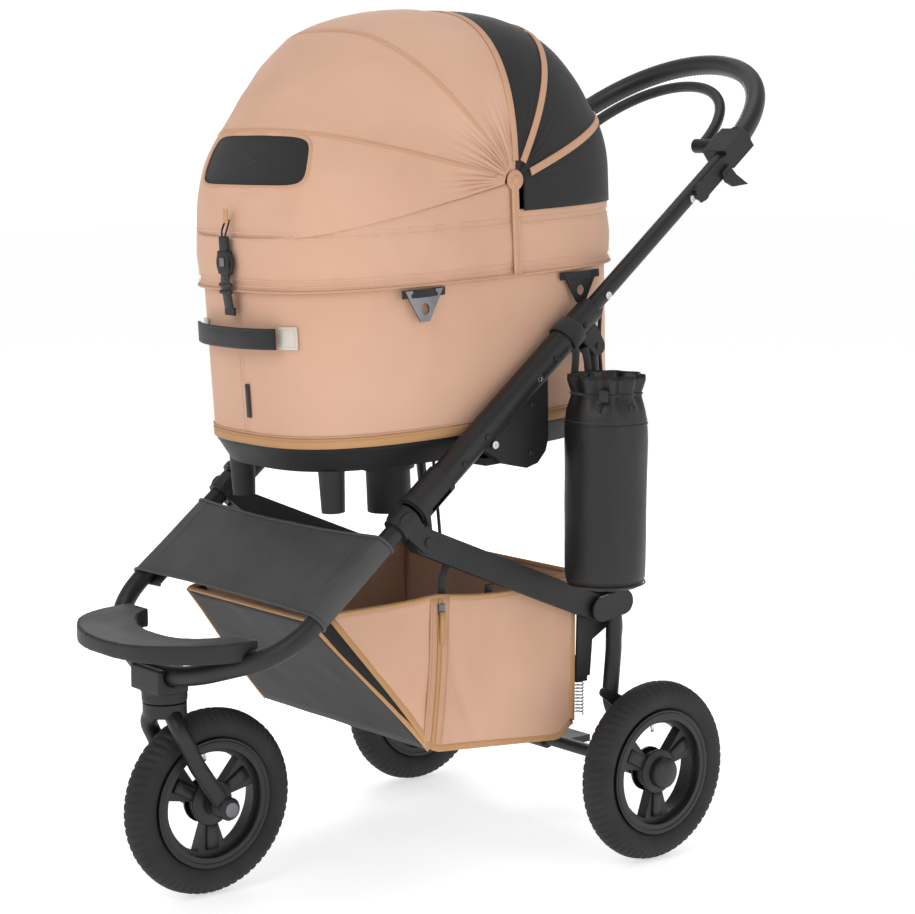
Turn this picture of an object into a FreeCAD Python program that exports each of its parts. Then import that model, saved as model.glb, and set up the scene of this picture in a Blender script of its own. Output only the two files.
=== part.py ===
import FreeCAD, Part
import math
import os
from FreeCAD import Placement, Rotation, Vector

# Pet stroller: three air-filled wheels, a frame of round tubes that folds behind the
# front wheel, and a lift-off oval cot with a hooped canopy.
# Millimetres. X points to the stroller's left, -Y is the front, Z is up, ground at 0.
# Everything is laid out from the middle of the rear axle and moved by ORIGIN_SHIFT_X and
# ORIGIN_SHIFT_Y at the end, so that the origin lies under the middle of the whole
# stroller with its side bag.

# ---- overall sizes -----------------------------------------------------------------
ORIGIN_SHIFT_X = -18.5
ORIGIN_SHIFT_Y = 170.15
WHEEL_R = 122.0
TYRE_R = 21.0
REAR_TRACK = 516.0
WHEELBASE = 546.0
CASTER_TRAIL = 62.0
FRAME_HALF = 197.0
FRAME_TILT = 38.8
JOINT_Y = -374.4
JOINT_Z = 495.9

# ---- tubes and their clearances ----------------------------------------------------
FRONT_TUBE_R = 12.5
UPPER_TUBE_R = 18.0
UPPER_TUBE_BORE = 15.5
UPPER_TUBE_END = 400.0
HANDLE_TUBE_R = 11.0
HANDLE_BORE = 9.5
HANDLE_TOP = 924.0
GRIP_R = 14.0
GRIP_START = 757.0
FIT = 0.15
RUN = 0.05
GAP = 0.5
PIN_R = 5.0
PLATE = 4.0

# ---- fold pivot, beams and rear end ------------------------------------------------
PIVOT_DROP = 38.8
BEAM_HALF_H = 17.0
BEAM_HALF_W = 10.0
BEAM_END_Y = -54.0
BEAM_END_Z = 342.6
LEG_R = 11.0
STRUT_R = 7.0
STRUT_S = 368.6
STRUT_DROP = 40.0
CROSS_TUBE_Y = -61.0
CROSS_TUBE_Z = 262.0
SPRING_X = 165.0
SPRING_Y = -50.0
SPRING_DROP = 26.0
AXLE_R = 6.0
AXLE_TUBE_R = 9.0

# ---- handle fittings ---------------------------------------------------------------
BRAKE_BAR_R = 7.5
BRAKE_BAR_HALF = 137.0
BRAKE_BAR_S = 735.0
COLLAR_START = 14.0
COLLAR_LENGTH = 60.0
COLLAR_R = 21.0
CATCH_S = 688.0
CATCH_N = -17.0

# ---- front end ---------------------------------------------------------------------
LOOP_CORNER_S = -235.0
LOOP_NOSE_S = -340.0
LOOP_CORNER_BEND = 88.0
LOOP_NOSE_BEND = 215.0
STEP_TOP = 360.0
STEP_THICK = 24.0
STEP_HALF_W = 158.0
STEP_DEPTH = 134.0
STEP_BACK_Y = -566.0
HOUSING_R = 24.0
HOUSING_BOTTOM = 263.0
FORK_LEG_R = 11.0
FORK_LEG_X = 39.5
APRON_TOP_S = -46.0
APRON_BOTTOM_S = -180.0
APRON_THICK = 2.0

# ---- cot ---------------------------------------------------------------------------
COT_Y = -204.0
COT_Z = 593.5
COT_TILT = 2.84
COT_BASE_A = 174.0
COT_BASE_B = 275.0
COT_TOP_A = 179.5
COT_TOP_B = 279.0
COT_WALL_H = 262.0
COT_WALL = 4.0
COT_POWER = 3.0
TRAY_DEPTH = 32.0
TRAY_TAPER = 17.0
FOOT_R = 17.0
FOOT_DROP = 86.0
FOOT_X = 100.0
FOOT_Y = 216.0
MAT_THICK = 20.0
SKIRT_BOTTOM = 196.0
SKIRT_GAP = 1.5
SKIRT_THICK = 3.0

# ---- canopy: hoops turn about one pivot on each side -------------------------------
HINGE_Y = 34.0
HINGE_Z = 319.0
CANOPY_POWER = 2.76
FABRIC = 1.2
HOOP_THICK = 1.8
HOOP_GAP = 0.8
REAR_HOOP_GAP = 2.4
HOOP_DEG = 1.9
SEAM_GAP_DEG = 0.3
HINGE_CLEAR = 12.0
HINGE_PIN_R = 4.0
FRONT_LOW_DEG = -9.5
FRONT_HOOP_DEG = 15.5
MID_HOOP_DEG = 51.0
TOP_HOOP_DEG = 90.0
REAR_HOOP_DEG = 160.5
REAR_LOW_DEG = 190.0
CANOPY_HALF = 184.0
LAYER = FABRIC + HOOP_THICK + 2 * HOOP_GAP
FRONT_REACH = 317.0
CROWN_REACH = 216.0
REAR_REACH = 238.0

# ---- fittings on the cot and hung parts --------------------------------------------
RING_W = 60.0
RING_H = 40.0
RING_THICK = 3.0
RING_TOP = 192.0
RING_HOLE_R = 7.0
RING_Y = (-119.0, 147.0)
STRAP_HALF = 85.0
STRAP_LOW = 126.0
STRAP_HIGH = 154.0
STRAP_BOW = 19.0
STRAP_THICK = 3.0
BAG_X = 272.0
BAG_Y = -105.0
BAG_R = 54.0
BAG_BOTTOM = 388.0
BAG_TOP = 658.0
BAG_WALL = 2.5
BASKET_HALF = 183.0
BASKET_WALL = 3.0
BASKET = [(-482.0, 372.0), (-315.0, 388.0), (-79.5, 392.0), (-79.5, 168.0), (-327.0, 190.0)]
ZIP_Y = -309.0
CABLE_R = 2.5

TILT = math.radians(FRAME_TILT)
COT_RAD = math.radians(COT_TILT)
PARTS = {}


def keep(name, shape):
    """Store a finished sub-part under its node name."""
    PARTS[name] = shape


def box(x0, x1, y0, y1, z0, z1):
    return Part.makeBox(x1 - x0, y1 - y0, z1 - z0, Vector(x0, y0, z0))


def rod(start, end, radius):
    along = end - start
    return Part.makeCylinder(radius, along.Length, start, along)


def rod_x(x0, x1, y, z, radius):
    return rod(Vector(x0, y, z), Vector(x1, y, z), radius)


def mirrored(shape):
    return shape.mirror(Vector(0, 0, 0), Vector(1, 0, 0))


def pair(shape):
    return Part.makeCompound([shape, mirrored(shape)])


def fused(shapes):
    whole = shapes[0]
    for other in shapes[1:]:
        whole = whole.fuse(other)
    return whole.removeSplitter()


def incline(shape):
    """Move from the tube's own frame (x, s along the tube, n above it) to the stroller."""
    placed = shape.copy()
    turn = Rotation(Vector(1, 0, 0), FRAME_TILT)
    placed.transformShape(Placement(Vector(0, JOINT_Y, JOINT_Z), turn).toMatrix())
    return placed


def on_tube(x, s, n):
    y = JOINT_Y + s * math.cos(TILT) - n * math.sin(TILT)
    z = JOINT_Z + s * math.sin(TILT) + n * math.cos(TILT)
    return Vector(x, y, z)


def cot_place(shape):
    placed = shape.copy()
    turn = Rotation(Vector(1, 0, 0), COT_TILT)
    placed.transformShape(Placement(Vector(0, COT_Y, COT_Z), turn).toMatrix())
    return placed


def polygon_face(points):
    return Part.Face(Part.makePolygon(points + [points[0]]))


def plate_x(profile, x0, x1):
    """Extrude a (y, z) outline from x0 to x1."""
    face = polygon_face([Vector(x0, y, z) for y, z in profile])
    return face.extrude(Vector(x1 - x0, 0, 0))


def hull_plate(circles, x0, x1):
    """Plate around a chain of (y, z, radius) circles: the discs and the strips between them."""
    solids = [rod_x(x0, x1, y, z, r) for y, z, r in circles]
    for (y0, z0, r0), (y1, z1, r1) in zip(circles, circles[1:]):
        reach = math.hypot(y1 - y0, z1 - z0)
        ny = -(z1 - z0) / reach
        nz = (y1 - y0) / reach
        strip = [(y0 + ny * r0, z0 + nz * r0), (y1 + ny * r1, z1 + nz * r1),
                 (y1 - ny * r1, z1 - nz * r1), (y0 - ny * r0, z0 - nz * r0)]
        solids.append(plate_x(strip, x0, x1))
    return fused(solids)


def rounded_path(points, bends):
    """Straight runs joined by tangent arcs. bends gives the radius at each inner point."""
    edges = []
    start = points[0]
    for before, corner, after, radius in zip(points, points[1:], points[2:], bends):
        back = (before - corner).normalize()
        ahead = (after - corner).normalize()
        half = back.getAngle(ahead) / 2
        cut = radius / math.tan(half)
        first = corner + back * cut
        last = corner + ahead * cut
        middle_way = (back + ahead).normalize()
        middle = corner + middle_way * (radius / math.sin(half) - radius)
        if (first - start).Length > 0.01:
            edges.append(Part.makeLine(start, first))
        edges.append(Part.Arc(first, middle, last).toShape())
        start = last
    edges.append(Part.makeLine(start, points[-1]))
    return Part.Wire(edges)


def pipe(points, bends, radius):
    path = rounded_path(points, bends)
    ring = Part.Wire(Part.makeCircle(radius, points[0], points[1] - points[0]))
    return path.makePipeShell([ring], True, False)


def tube(points, bends, radius, bore):
    return pipe(points, bends, radius).cut(pipe(points, bends, bore))


def oval(a, b, z, power=COT_POWER, count=40):
    """Closed superellipse wire at height z."""
    points = []
    for step in range(count):
        turn = 2 * math.pi * step / count
        c = math.cos(turn)
        s = math.sin(turn)
        x = a * math.copysign(abs(c) ** (2 / power), c)
        y = b * math.copysign(abs(s) ** (2 / power), s)
        points.append(Vector(x, y, z))
    curve = Part.BSplineCurve()
    curve.interpolate(points, PeriodicFlag=True)
    return Part.Wire(curve.toShape())


def oval_solid(a0, b0, z0, a1, b1, z1):
    return Part.makeLoft([oval(a0, b0, z0), oval(a1, b1, z1)], True, True)


def wall_half_width(y_local):
    """Cot wall's outer half width at a place along the cot, near the rim."""
    return COT_TOP_A * (1 - (abs(y_local) / COT_TOP_B) ** COT_POWER) ** (1 / COT_POWER)


# ---- rear frame --------------------------------------------------------------------

def pivot_point():
    return on_tube(0, 0, -PIVOT_DROP)


def upper_tube():
    """Thick side tube with a reducing bush that takes the end of the handle tube."""
    bush_start = UPPER_TUBE_END - 60
    axis = Vector(0, 1, 0)
    outer = Part.makeCylinder(UPPER_TUBE_R, UPPER_TUBE_END - 12, Vector(FRAME_HALF, 12, 0), axis)
    hollow = Part.makeCylinder(UPPER_TUBE_BORE, bush_start - 10, Vector(FRAME_HALF, 10, 0), axis)
    mouth = Part.makeCylinder(HANDLE_TUBE_R + FIT, 80, Vector(FRAME_HALF, bush_start - 5, 0), axis)
    rim = Part.makeCone(UPPER_TUBE_R + 3, UPPER_TUBE_R - 3, 6,
                        Vector(FRAME_HALF, UPPER_TUBE_END - 6 - 0.01, 0), axis)
    whole = outer.cut(hollow).cut(mouth)
    end_ring = outer.common(Part.makeCylinder(UPPER_TUBE_R + 4, 6,
                                              Vector(FRAME_HALF, UPPER_TUBE_END - 6, 0), axis))
    return incline(whole.cut(end_ring.cut(rim)))


def handle_path(radius, bore, start):
    points = [Vector(FRAME_HALF, start, 0), Vector(FRAME_HALF, HANDLE_TOP, 0),
              Vector(-FRAME_HALF, HANDLE_TOP, 0), Vector(-FRAME_HALF, start, 0)]
    bends = [FRAME_HALF - 0.01, FRAME_HALF - 0.01]
    return tube(points, bends, radius, bore)


def handle_tube():
    return incline(handle_path(HANDLE_TUBE_R, HANDLE_BORE, UPPER_TUBE_END - 55))


def handle_grip():
    sleeve = handle_path(GRIP_R, HANDLE_TUBE_R + FIT, UPPER_TUBE_END)
    covered = box(-300, 300, GRIP_START, HANDLE_TOP + 100, -50, 50)
    return incline(sleeve.common(covered))


def handle_bracket():
    """Clamp on the handle tube that carries the brake bar's pivot pin and a side plate."""
    clamp = box(FRAME_HALF - 27, FRAME_HALF + 17, 706, 755, -15, 15)
    plate = box(FRAME_HALF + 12, FRAME_HALF + 17, 630, 740, -13, 9)
    nose = Part.makeCylinder(13, 5, Vector(FRAME_HALF + 12, 640, -2), Vector(1, 0, 0))
    body = fused([clamp, plate, nose])
    body = body.cut(handle_path(HANDLE_TUBE_R + FIT, 1.0, UPPER_TUBE_END))
    solids = sorted(body.Solids, key=lambda solid: solid.Volume)
    body = solids[-1]
    pin = rod(Vector(BRAKE_BAR_HALF - 6, BRAKE_BAR_S, 0),
              Vector(FRAME_HALF - 26, BRAKE_BAR_S, 0), PIN_R)
    stud = rod(Vector(FRAME_HALF + 16, CATCH_S, CATCH_N + 8),
               Vector(FRAME_HALF + 23, CATCH_S, CATCH_N + 8), 3)
    return incline(fused([body, pin, stud]))


def strut_bracket():
    """Two cheeks under the upper tube with a bolt for the strut."""
    top = (STRUT_S, -UPPER_TUBE_R - 1.0, 15)
    low = (STRUT_S, -STRUT_DROP, 12)
    circles = [(top[0], top[1], top[2]), (low[0], low[1], low[2])]
    outer = hull_plate(circles, FRAME_HALF + 9, FRAME_HALF + 9 + PLATE)
    inner = hull_plate(circles, FRAME_HALF - 9 - PLATE, FRAME_HALF - 9)
    bolt = rod(Vector(FRAME_HALF - 14, STRUT_S, -STRUT_DROP),
               Vector(FRAME_HALF + 15, STRUT_S, -STRUT_DROP), 4)
    body = fused([outer, inner, bolt])
    body = body.cut(rod(Vector(FRAME_HALF, 300, 0), Vector(FRAME_HALF, 450, 0),
                        UPPER_TUBE_R + FIT))
    return incline(body)


def side_plate():
    """Drop-shaped cheek below the upper tube that carries the cot carrier."""
    outline = [(138, -8), (286, -8), (266, -34), (232, -78), (218, -88),
               (198, -91), (180, -83), (160, -58), (150, -34)]
    plate = plate_x(outline, FRAME_HALF - 10, FRAME_HALF + 8)
    plate = plate.cut(rod(Vector(FRAME_HALF, 100, 0), Vector(FRAME_HALF, 320, 0),
                          UPPER_TUBE_R + FIT))
    return incline(plate)


def beam():
    pivot = pivot_point()
    body = hull_plate([(pivot.y, pivot.z, BEAM_HALF_H), (BEAM_END_Y, BEAM_END_Z, BEAM_HALF_H)],
                      FRAME_HALF - BEAM_HALF_W, FRAME_HALF + BEAM_HALF_W)
    return body.cut(rod_x(FRAME_HALF - 20, FRAME_HALF + 20, pivot.y, pivot.z, PIN_R + RUN))


def strut():
    top = on_tube(FRAME_HALF, STRUT_S, -STRUT_DROP)
    foot = Vector(FRAME_HALF, -21, 366)
    body = rod(top, foot, STRUT_R)
    eye = rod_x(FRAME_HALF - 8, FRAME_HALF + 8, top.y, top.z, 10)
    whole = fused([body, eye])
    return whole.cut(rod_x(FRAME_HALF - 20, FRAME_HALF + 20, top.y, top.z, 4 + FIT))


def rear_bracket():
    """Inner and outer cheek that tie the beam, strut, rear leg and cross tube together."""
    inner_outline = [(-72, 362), (-2, 368), (-4, 318), (-46, 296), (-50, 247), (-74, 247)]
    inner = plate_x(inner_outline, FRAME_HALF - 15, FRAME_HALF - 11.2)
    outer = hull_plate([(BEAM_END_Y, BEAM_END_Z, 17), (-15.5, 348, 17)],
                       FRAME_HALF + 14.6, FRAME_HALF + 18)
    bolts = [rod_x(FRAME_HALF - 15, FRAME_HALF + 18, BEAM_END_Y, BEAM_END_Z, 4),
             rod_x(FRAME_HALF - 15, FRAME_HALF + 18, -21, 356.5, 3)]
    return fused([inner, outer] + bolts)


def rear_leg():
    """S-shaped tube from the rear bracket to the axle, with the brake arm's pivot stub."""
    points = [Vector(FRAME_HALF + 3, -20, 351), Vector(FRAME_HALF + 3, -20, 282),
              Vector(FRAME_HALF + 10, -33, 214), Vector(FRAME_HALF + 15, 0, 140),
              Vector(FRAME_HALF + 15, 0, 122)]
    leg = pipe(points, [60, 45, 30], LEG_R)
    lug = rod_x(FRAME_HALF + 4, FRAME_HALF + 26, 0, WHEEL_R, 14)
    stub = rod_x(FRAME_HALF + 10, FRAME_HALF + 32.5, -33, 214, HINGE_PIN_R)
    whole = fused([leg, lug, stub])
    return whole.cut(rod_x(0, 400, 0, WHEEL_R, AXLE_R + FIT))


def rear_beam_bolts_clear(shape):
    """Holes in the beam for the rear bracket's bolt."""
    return shape.cut(rod_x(FRAME_HALF - 20, FRAME_HALF + 20, BEAM_END_Y, BEAM_END_Z, 4 + FIT))


def rear_axle():
    rod_end = REAR_TRACK / 2 + 25
    inner = FRAME_HALF + 3
    thin = rod_x(-rod_end, rod_end, 0, WHEEL_R, AXLE_R)
    thick = rod_x(-inner, inner, 0, WHEEL_R, AXLE_TUBE_R)
    ends = [rod_x(side * rod_end, side * (rod_end + 6), 0, WHEEL_R, 10) for side in (-1, 1)]
    return fused([thin, thick] + ends)


def cross_tube():
    reach = FRAME_HALF - 15.2
    bar = rod_x(-reach, reach, CROSS_TUBE_Y, CROSS_TUBE_Z, 11)
    tabs = [box(side * SPRING_X - 8, side * SPRING_X + 8, CROSS_TUBE_Y - 2, SPRING_Y + 7,
                CROSS_TUBE_Z - SPRING_DROP, CROSS_TUBE_Z - 8) for side in (-1, 1)]
    return fused([bar] + tabs)


def cot_carrier():
    """Cross plate under the cot tray, with the round housing of the cot lock."""
    top = -TRAY_DEPTH - 0.6
    reach = FRAME_HALF - 10.3
    plate = box(-reach, reach, -34, 44, top - 10, top)
    bridge = box(-70, 70, -96, 60, top - 16, top)
    housing = Part.makeCylinder(30, 74, Vector(0, -50, top - 88))
    housing = housing.fuse(Part.makeCylinder(36, 16, Vector(0, -50, top - 30)))
    ears = [box(side * 60 - 8, side * 60 + 8, -120, -60, top - 14, top - 4) for side in (-1, 1)]
    return cot_place(fused([plate, bridge, housing] + ears))


def rivets():
    """Black domed rivet heads on both outer faces of the frame."""
    spots = [(300, 0, UPPER_TUBE_R), (238, -24, 8.2), (152, 0, UPPER_TUBE_R),
             (103, 0, UPPER_TUBE_R), (366, 0, UPPER_TUBE_R), (198, -72, 8.2)]
    heads = []
    for s, n, out in spots:
        centre = on_tube(FRAME_HALF + out + 0.02, s, n)
        heads.append(rivet_head(centre, 4.2))
    return Part.makeCompound(heads + [mirrored(head) for head in heads])


def rivet_head(centre, radius):
    disc = Part.makeCylinder(radius, 1.6, centre, Vector(1, 0, 0))
    top = Part.makeCone(radius, radius * 0.45, 1.2, centre + Vector(1.6, 0, 0), Vector(1, 0, 0))
    return disc.fuse(top)


def chrome_screws():
    """Cross-head screws that hold the side plates and the handle tube."""
    spots = [(263, -2, UPPER_TUBE_R), (157, -19, 8.2 + 4), (424, 0, HANDLE_TUBE_R),
             (622, 0, HANDLE_TUBE_R)]
    heads = []
    for s, n, out in spots:
        centre = on_tube(FRAME_HALF + out + 0.02, s, n)
        head = Part.makeCylinder(5, 2.4, centre, Vector(1, 0, 0))
        slot_a = Part.makeBox(1.2, 6, 1.2, centre + Vector(1.6, -3, -0.6))
        slot_b = Part.makeBox(1.2, 1.2, 6, centre + Vector(1.6, -0.6, -3))
        heads.append(head.cut(slot_a).cut(slot_b))
    return Part.makeCompound(heads + [mirrored(head) for head in heads])


def inset(points, depth):
    """Move every edge of a clockwise outline inward by depth."""
    moved = []
    count = len(points)
    lines = []
    for index in range(count):
        (y0, z0), (y1, z1) = points[index], points[(index + 1) % count]
        reach = math.hypot(y1 - y0, z1 - z0)
        ny = (z1 - z0) / reach
        nz = -(y1 - y0) / reach
        lines.append((ny, nz, ny * y0 + nz * z0 + depth))
    for index in range(count):
        a0, b0, c0 = lines[index - 1]
        a1, b1, c1 = lines[index]
        det = a0 * b1 - a1 * b0
        moved.append(((c0 * b1 - c1 * b0) / det, (a0 * c1 - a1 * c0) / det))
    return moved


def basket():
    """Open-topped fabric basket, wedge-shaped from the side."""
    outer = plate_x(BASKET, -BASKET_HALF, BASKET_HALF)
    inner = inset(BASKET, BASKET_WALL)
    front_top, rear_low, front_low = inner[0], inner[3], inner[4]
    lean = (front_top[0] - front_low[0]) / (front_top[1] - front_low[1])
    rise = 120.0
    open_top = [(front_top[0] + lean * rise, front_top[1] + rise),
                (rear_low[0], front_top[1] + rise), rear_low, front_low]
    room = plate_x(open_top, -BASKET_HALF + BASKET_WALL, BASKET_HALF - BASKET_WALL)
    return outer.cut(room)


def basket_zip_pull():
    top = 378.0
    x = BASKET_HALF + GAP
    slider = box(x, x + 4, ZIP_Y - 5, ZIP_Y + 5, top - 12, top)
    tab = box(x + 1, x + 3, ZIP_Y - 3.5, ZIP_Y + 3.5, top - 44, top - 11)
    return slider.fuse(tab)


def cable_points():
    """Brake cable route on the left, from the handle bracket to the brake arm."""
    low = on_tube(0, 430, -12)
    start = on_tube(0, 705.8, -10)
    return [Vector(FRAME_HALF - 15, start.y, start.z),
            Vector(FRAME_HALF - 15, low.y, low.z),
            Vector(FRAME_HALF - 8, -42, 702),
            Vector(FRAME_HALF - 8, -6, 372),
            Vector(FRAME_HALF - 6, 4, 300),
            Vector(FRAME_HALF - 6, -12, 262)]


def brake_cable():
    points = cable_points()
    bends = []
    for before, corner, after in zip(points, points[1:], points[2:]):
        turn = math.pi - (before - corner).getAngle(after - corner)
        shorter = min((before - corner).Length, (after - corner).Length)
        radius = 0.45 * min(shorter, 60) / math.tan(turn / 2)
        bends.append(radius)
        print("cable bend radius", round(radius, 1))
    body = pipe(points, bends, CABLE_R)
    print("cable length", round(body.Volume / (math.pi * CABLE_R ** 2), 1))
    return body


# ---- front frame -------------------------------------------------------------------

def front_loop_points():
    return [Vector(FRAME_HALF, 8, 0), Vector(FRAME_HALF, LOOP_CORNER_S, 0),
            Vector(0, LOOP_NOSE_S, 0), Vector(-FRAME_HALF, LOOP_CORNER_S, 0),
            Vector(-FRAME_HALF, 8, 0)]


def front_tube(radius, bore=None):
    bends = [LOOP_CORNER_BEND, LOOP_NOSE_BEND, LOOP_CORNER_BEND]
    if bore is None:
        return incline(pipe(front_loop_points(), bends, radius))
    return incline(tube(front_loop_points(), bends, radius, bore))


def nose():
    """Middle of the front loop, where the steering column stands."""
    half_turn = math.atan2(LOOP_CORNER_S - LOOP_NOSE_S, FRAME_HALF)
    apex = LOOP_NOSE_S + LOOP_NOSE_BEND * (1 / math.cos(half_turn) - 1)
    return on_tube(0, apex, 0)


def steer_y():
    return -WHEELBASE - CASTER_TRAIL


def lower_bracket():
    """Clamp on the front tube with two cheeks and the fold pin for the beam."""
    axis = Vector(0, 1, 0)
    clamp = Part.makeCylinder(FRONT_TUBE_R + 5, 30, Vector(FRAME_HALF, -22, 0), axis)
    cheeks = []
    for x0 in (FRAME_HALF - 15, FRAME_HALF + 11):
        cheeks.append(hull_plate([(-7, 0, 15), (0, -PIVOT_DROP, 14)], x0, x0 + PLATE))
    pin = rod(Vector(FRAME_HALF - 14, 0, -PIVOT_DROP), Vector(FRAME_HALF + 14, 0, -PIVOT_DROP),
              PIN_R)
    heads = [Part.makeCylinder(6, 2, Vector(FRAME_HALF + 15, 0, n), Vector(1, 0, 0))
             for n in (0, -PIVOT_DROP)]
    body = fused([clamp] + cheeks + [pin] + heads)
    body = body.cut(rod(Vector(FRAME_HALF, -80, 0), Vector(FRAME_HALF, 9, 0),
                        FRONT_TUBE_R + FIT))
    top_trim = box(FRAME_HALF - 30, FRAME_HALF + 30, 8, 40, -20, 40)
    return incline(body.cut(top_trim))


def ellipse_solid(y, half_x, half_y, z0, z1, power):
    rings = [oval(half_x, half_y, z0, power), oval(half_x, half_y, z1, power)]
    body = Part.makeLoft(rings, True, True)
    body.translate(Vector(0, y, 0))
    return body


def footplate():
    """Crescent step with a dished top and a thick rim, notched over the front loop."""
    low = STEP_TOP - STEP_THICK
    outer = ellipse_solid(STEP_BACK_Y, STEP_HALF_W, STEP_DEPTH, low, STEP_TOP, 2.3)
    front = box(-400, 400, -900, STEP_BACK_Y, 0, 600)
    back_cut = ellipse_solid(STEP_BACK_Y + 6, STEP_HALF_W - 50, 58, low - 5, STEP_TOP + 5, 2.2)
    dish = Part.makeSphere(900, Vector(0, STEP_BACK_Y - 55, STEP_TOP + 900 - 8))
    body = outer.common(front).cut(back_cut).cut(dish)
    body = body.cut(front_tube(FRONT_TUBE_R + 0.3))
    solids = sorted(body.Solids, key=lambda solid: solid.Volume)
    return solids[-1]


def apron():
    """Cover stretched over both front tubes and wrapped round them."""
    inner_r = FRONT_TUBE_R + GAP
    outer_r = inner_r + APRON_THICK
    length = APRON_TOP_S - APRON_BOTTOM_S
    origin = Vector(0, APRON_BOTTOM_S, 0)
    along = Vector(0, 1, 0)
    sheet = box(-FRAME_HALF, FRAME_HALF, APRON_BOTTOM_S, APRON_TOP_S, inner_r, outer_r)
    wraps = []
    for side in (-1, 1):
        centre = Vector(side * FRAME_HALF, APRON_BOTTOM_S, 0)
        ring = Part.makeCylinder(outer_r, length, centre, along)
        ring = ring.cut(Part.makeCylinder(inner_r, length, centre, along))
        half = box(min(side * FRAME_HALF, side * 300), max(side * FRAME_HALF, side * 300),
                   origin.y, origin.y + length, -50, 50)
        lip_in = side * (FRAME_HALF - 26)
        lip = box(min(lip_in, side * FRAME_HALF), max(lip_in, side * FRAME_HALF),
                  APRON_BOTTOM_S, APRON_TOP_S, -outer_r, -inner_r)
        wraps += [ring.common(half), lip]
    return incline(fused([sheet] + wraps))


def caster_housing():
    """Saddle on the front loop with the steering bearing below it."""
    middle = nose()
    top = middle.z + 4
    column = rod(Vector(0, steer_y(), HOUSING_BOTTOM), Vector(0, steer_y(), top), HOUSING_R)
    collar = rod(Vector(0, steer_y(), HOUSING_BOTTOM), Vector(0, steer_y(), HOUSING_BOTTOM + 14),
                 HOUSING_R + 5)
    saddle = box(-34, 34, middle.y - 20, middle.y + 24, middle.z - 22, middle.z + 10)
    body = fused([column, collar, saddle])
    body = body.cut(front_tube(FRONT_TUBE_R + 0.1))
    bore = rod(Vector(0, steer_y(), HOUSING_BOTTOM - 1), Vector(0, steer_y(), HOUSING_BOTTOM + 20),
               10 + RUN)
    body = body.cut(bore)
    solids = sorted(body.Solids, key=lambda solid: solid.Volume)
    return solids[-1]


def fork():
    """Swivelling fork: stem, crown and two curved legs beside the wheel."""
    crown_z = HOUSING_BOTTOM - GAP
    stem = rod(Vector(0, steer_y(), crown_z - 2), Vector(0, steer_y(), HOUSING_BOTTOM + 19), 10)
    crown = rod(Vector(0, steer_y(), crown_z - 17), Vector(0, steer_y(), crown_z), 28)
    legs = []
    for side in (-1, 1):
        points = [Vector(side * 14, steer_y(), crown_z - 11),
                  Vector(side * FORK_LEG_X, steer_y() - 3, crown_z - 30),
                  Vector(side * FORK_LEG_X, steer_y() + 22, 182),
                  Vector(side * FORK_LEG_X, -WHEELBASE, WHEEL_R)]
        legs.append(pipe(points, [24, 90], FORK_LEG_R))
        inner = side * (FORK_LEG_X - 7)
        legs.append(rod_x(inner, side * (FORK_LEG_X + FORK_LEG_R + 1), -WHEELBASE, WHEEL_R, 15))
    body = fused([stem, crown] + legs)
    sweep = rod_x(-TYRE_R - 4, TYRE_R + 4, -WHEELBASE, WHEEL_R, WHEEL_R + 3.5)
    return body.cut(sweep).cut(rod_x(-80, 80, -WHEELBASE, WHEEL_R, AXLE_R + FIT))


def front_axle():
    reach = FORK_LEG_X + FORK_LEG_R + 1.1
    bolt = rod_x(-reach, reach, -WHEELBASE, WHEEL_R, AXLE_R)
    heads = [rod_x(side * reach, side * (reach + 5), -WHEELBASE, WHEEL_R, 9.5)
             for side in (-1, 1)]
    return fused([bolt] + heads)


# ---- wheels ------------------------------------------------------------------------

def tyre(x, y):
    return Part.makeTorus(WHEEL_R - TYRE_R, TYRE_R, Vector(x, y, WHEEL_R), Vector(1, 0, 0))


def kidney(x, y, start, sweep, r_in, r_out, half):
    """Rounded window between two spokes."""
    ring = rod_x(x - half, x + half, y, WHEEL_R, r_out)
    ring = ring.cut(rod_x(x - half - 1, x + half + 1, y, WHEEL_R, r_in))
    wedge_points = [Vector(x - half, y, WHEEL_R)]
    for step in range(5):
        turn = math.radians(start + sweep * step / 4)
        wedge_points.append(Vector(x - half, y + 140 * math.cos(turn), WHEEL_R + 140 * math.sin(turn)))
    wedge = polygon_face(wedge_points).extrude(Vector(2 * half, 0, 0))
    return ring.common(wedge)


def rim(x, y, hub_half):
    """Moulded three-spoke rim with a well for the tyre and a bored hub."""
    seat = WHEEL_R - 2 * TYRE_R - GAP
    barrel = rod_x(x - 18.5, x + 18.5, y, WHEEL_R, seat + 5)
    barrel = barrel.cut(rod_x(x - 19, x + 19, y, WHEEL_R, seat - 8))
    well = tyre(x, y).fuse(Part.makeTorus(WHEEL_R - TYRE_R, TYRE_R + GAP, Vector(x, y, WHEEL_R),
                                          Vector(1, 0, 0)))
    barrel = barrel.cut(well)
    disc = rod_x(x - 8, x + 8, y, WHEEL_R, seat - 7)
    for spoke in range(3):
        disc = disc.cut(kidney(x, y, 30 + 120 * spoke + 19, 82, 25, seat - 14, 9))
    hub = rod_x(x - hub_half, x + hub_half, y, WHEEL_R, 16)
    body = fused([barrel, disc, hub])
    return body.cut(rod_x(x - 60, x + 60, y, WHEEL_R, AXLE_R + RUN))


# ---- moving fittings of the frame --------------------------------------------------

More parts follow.
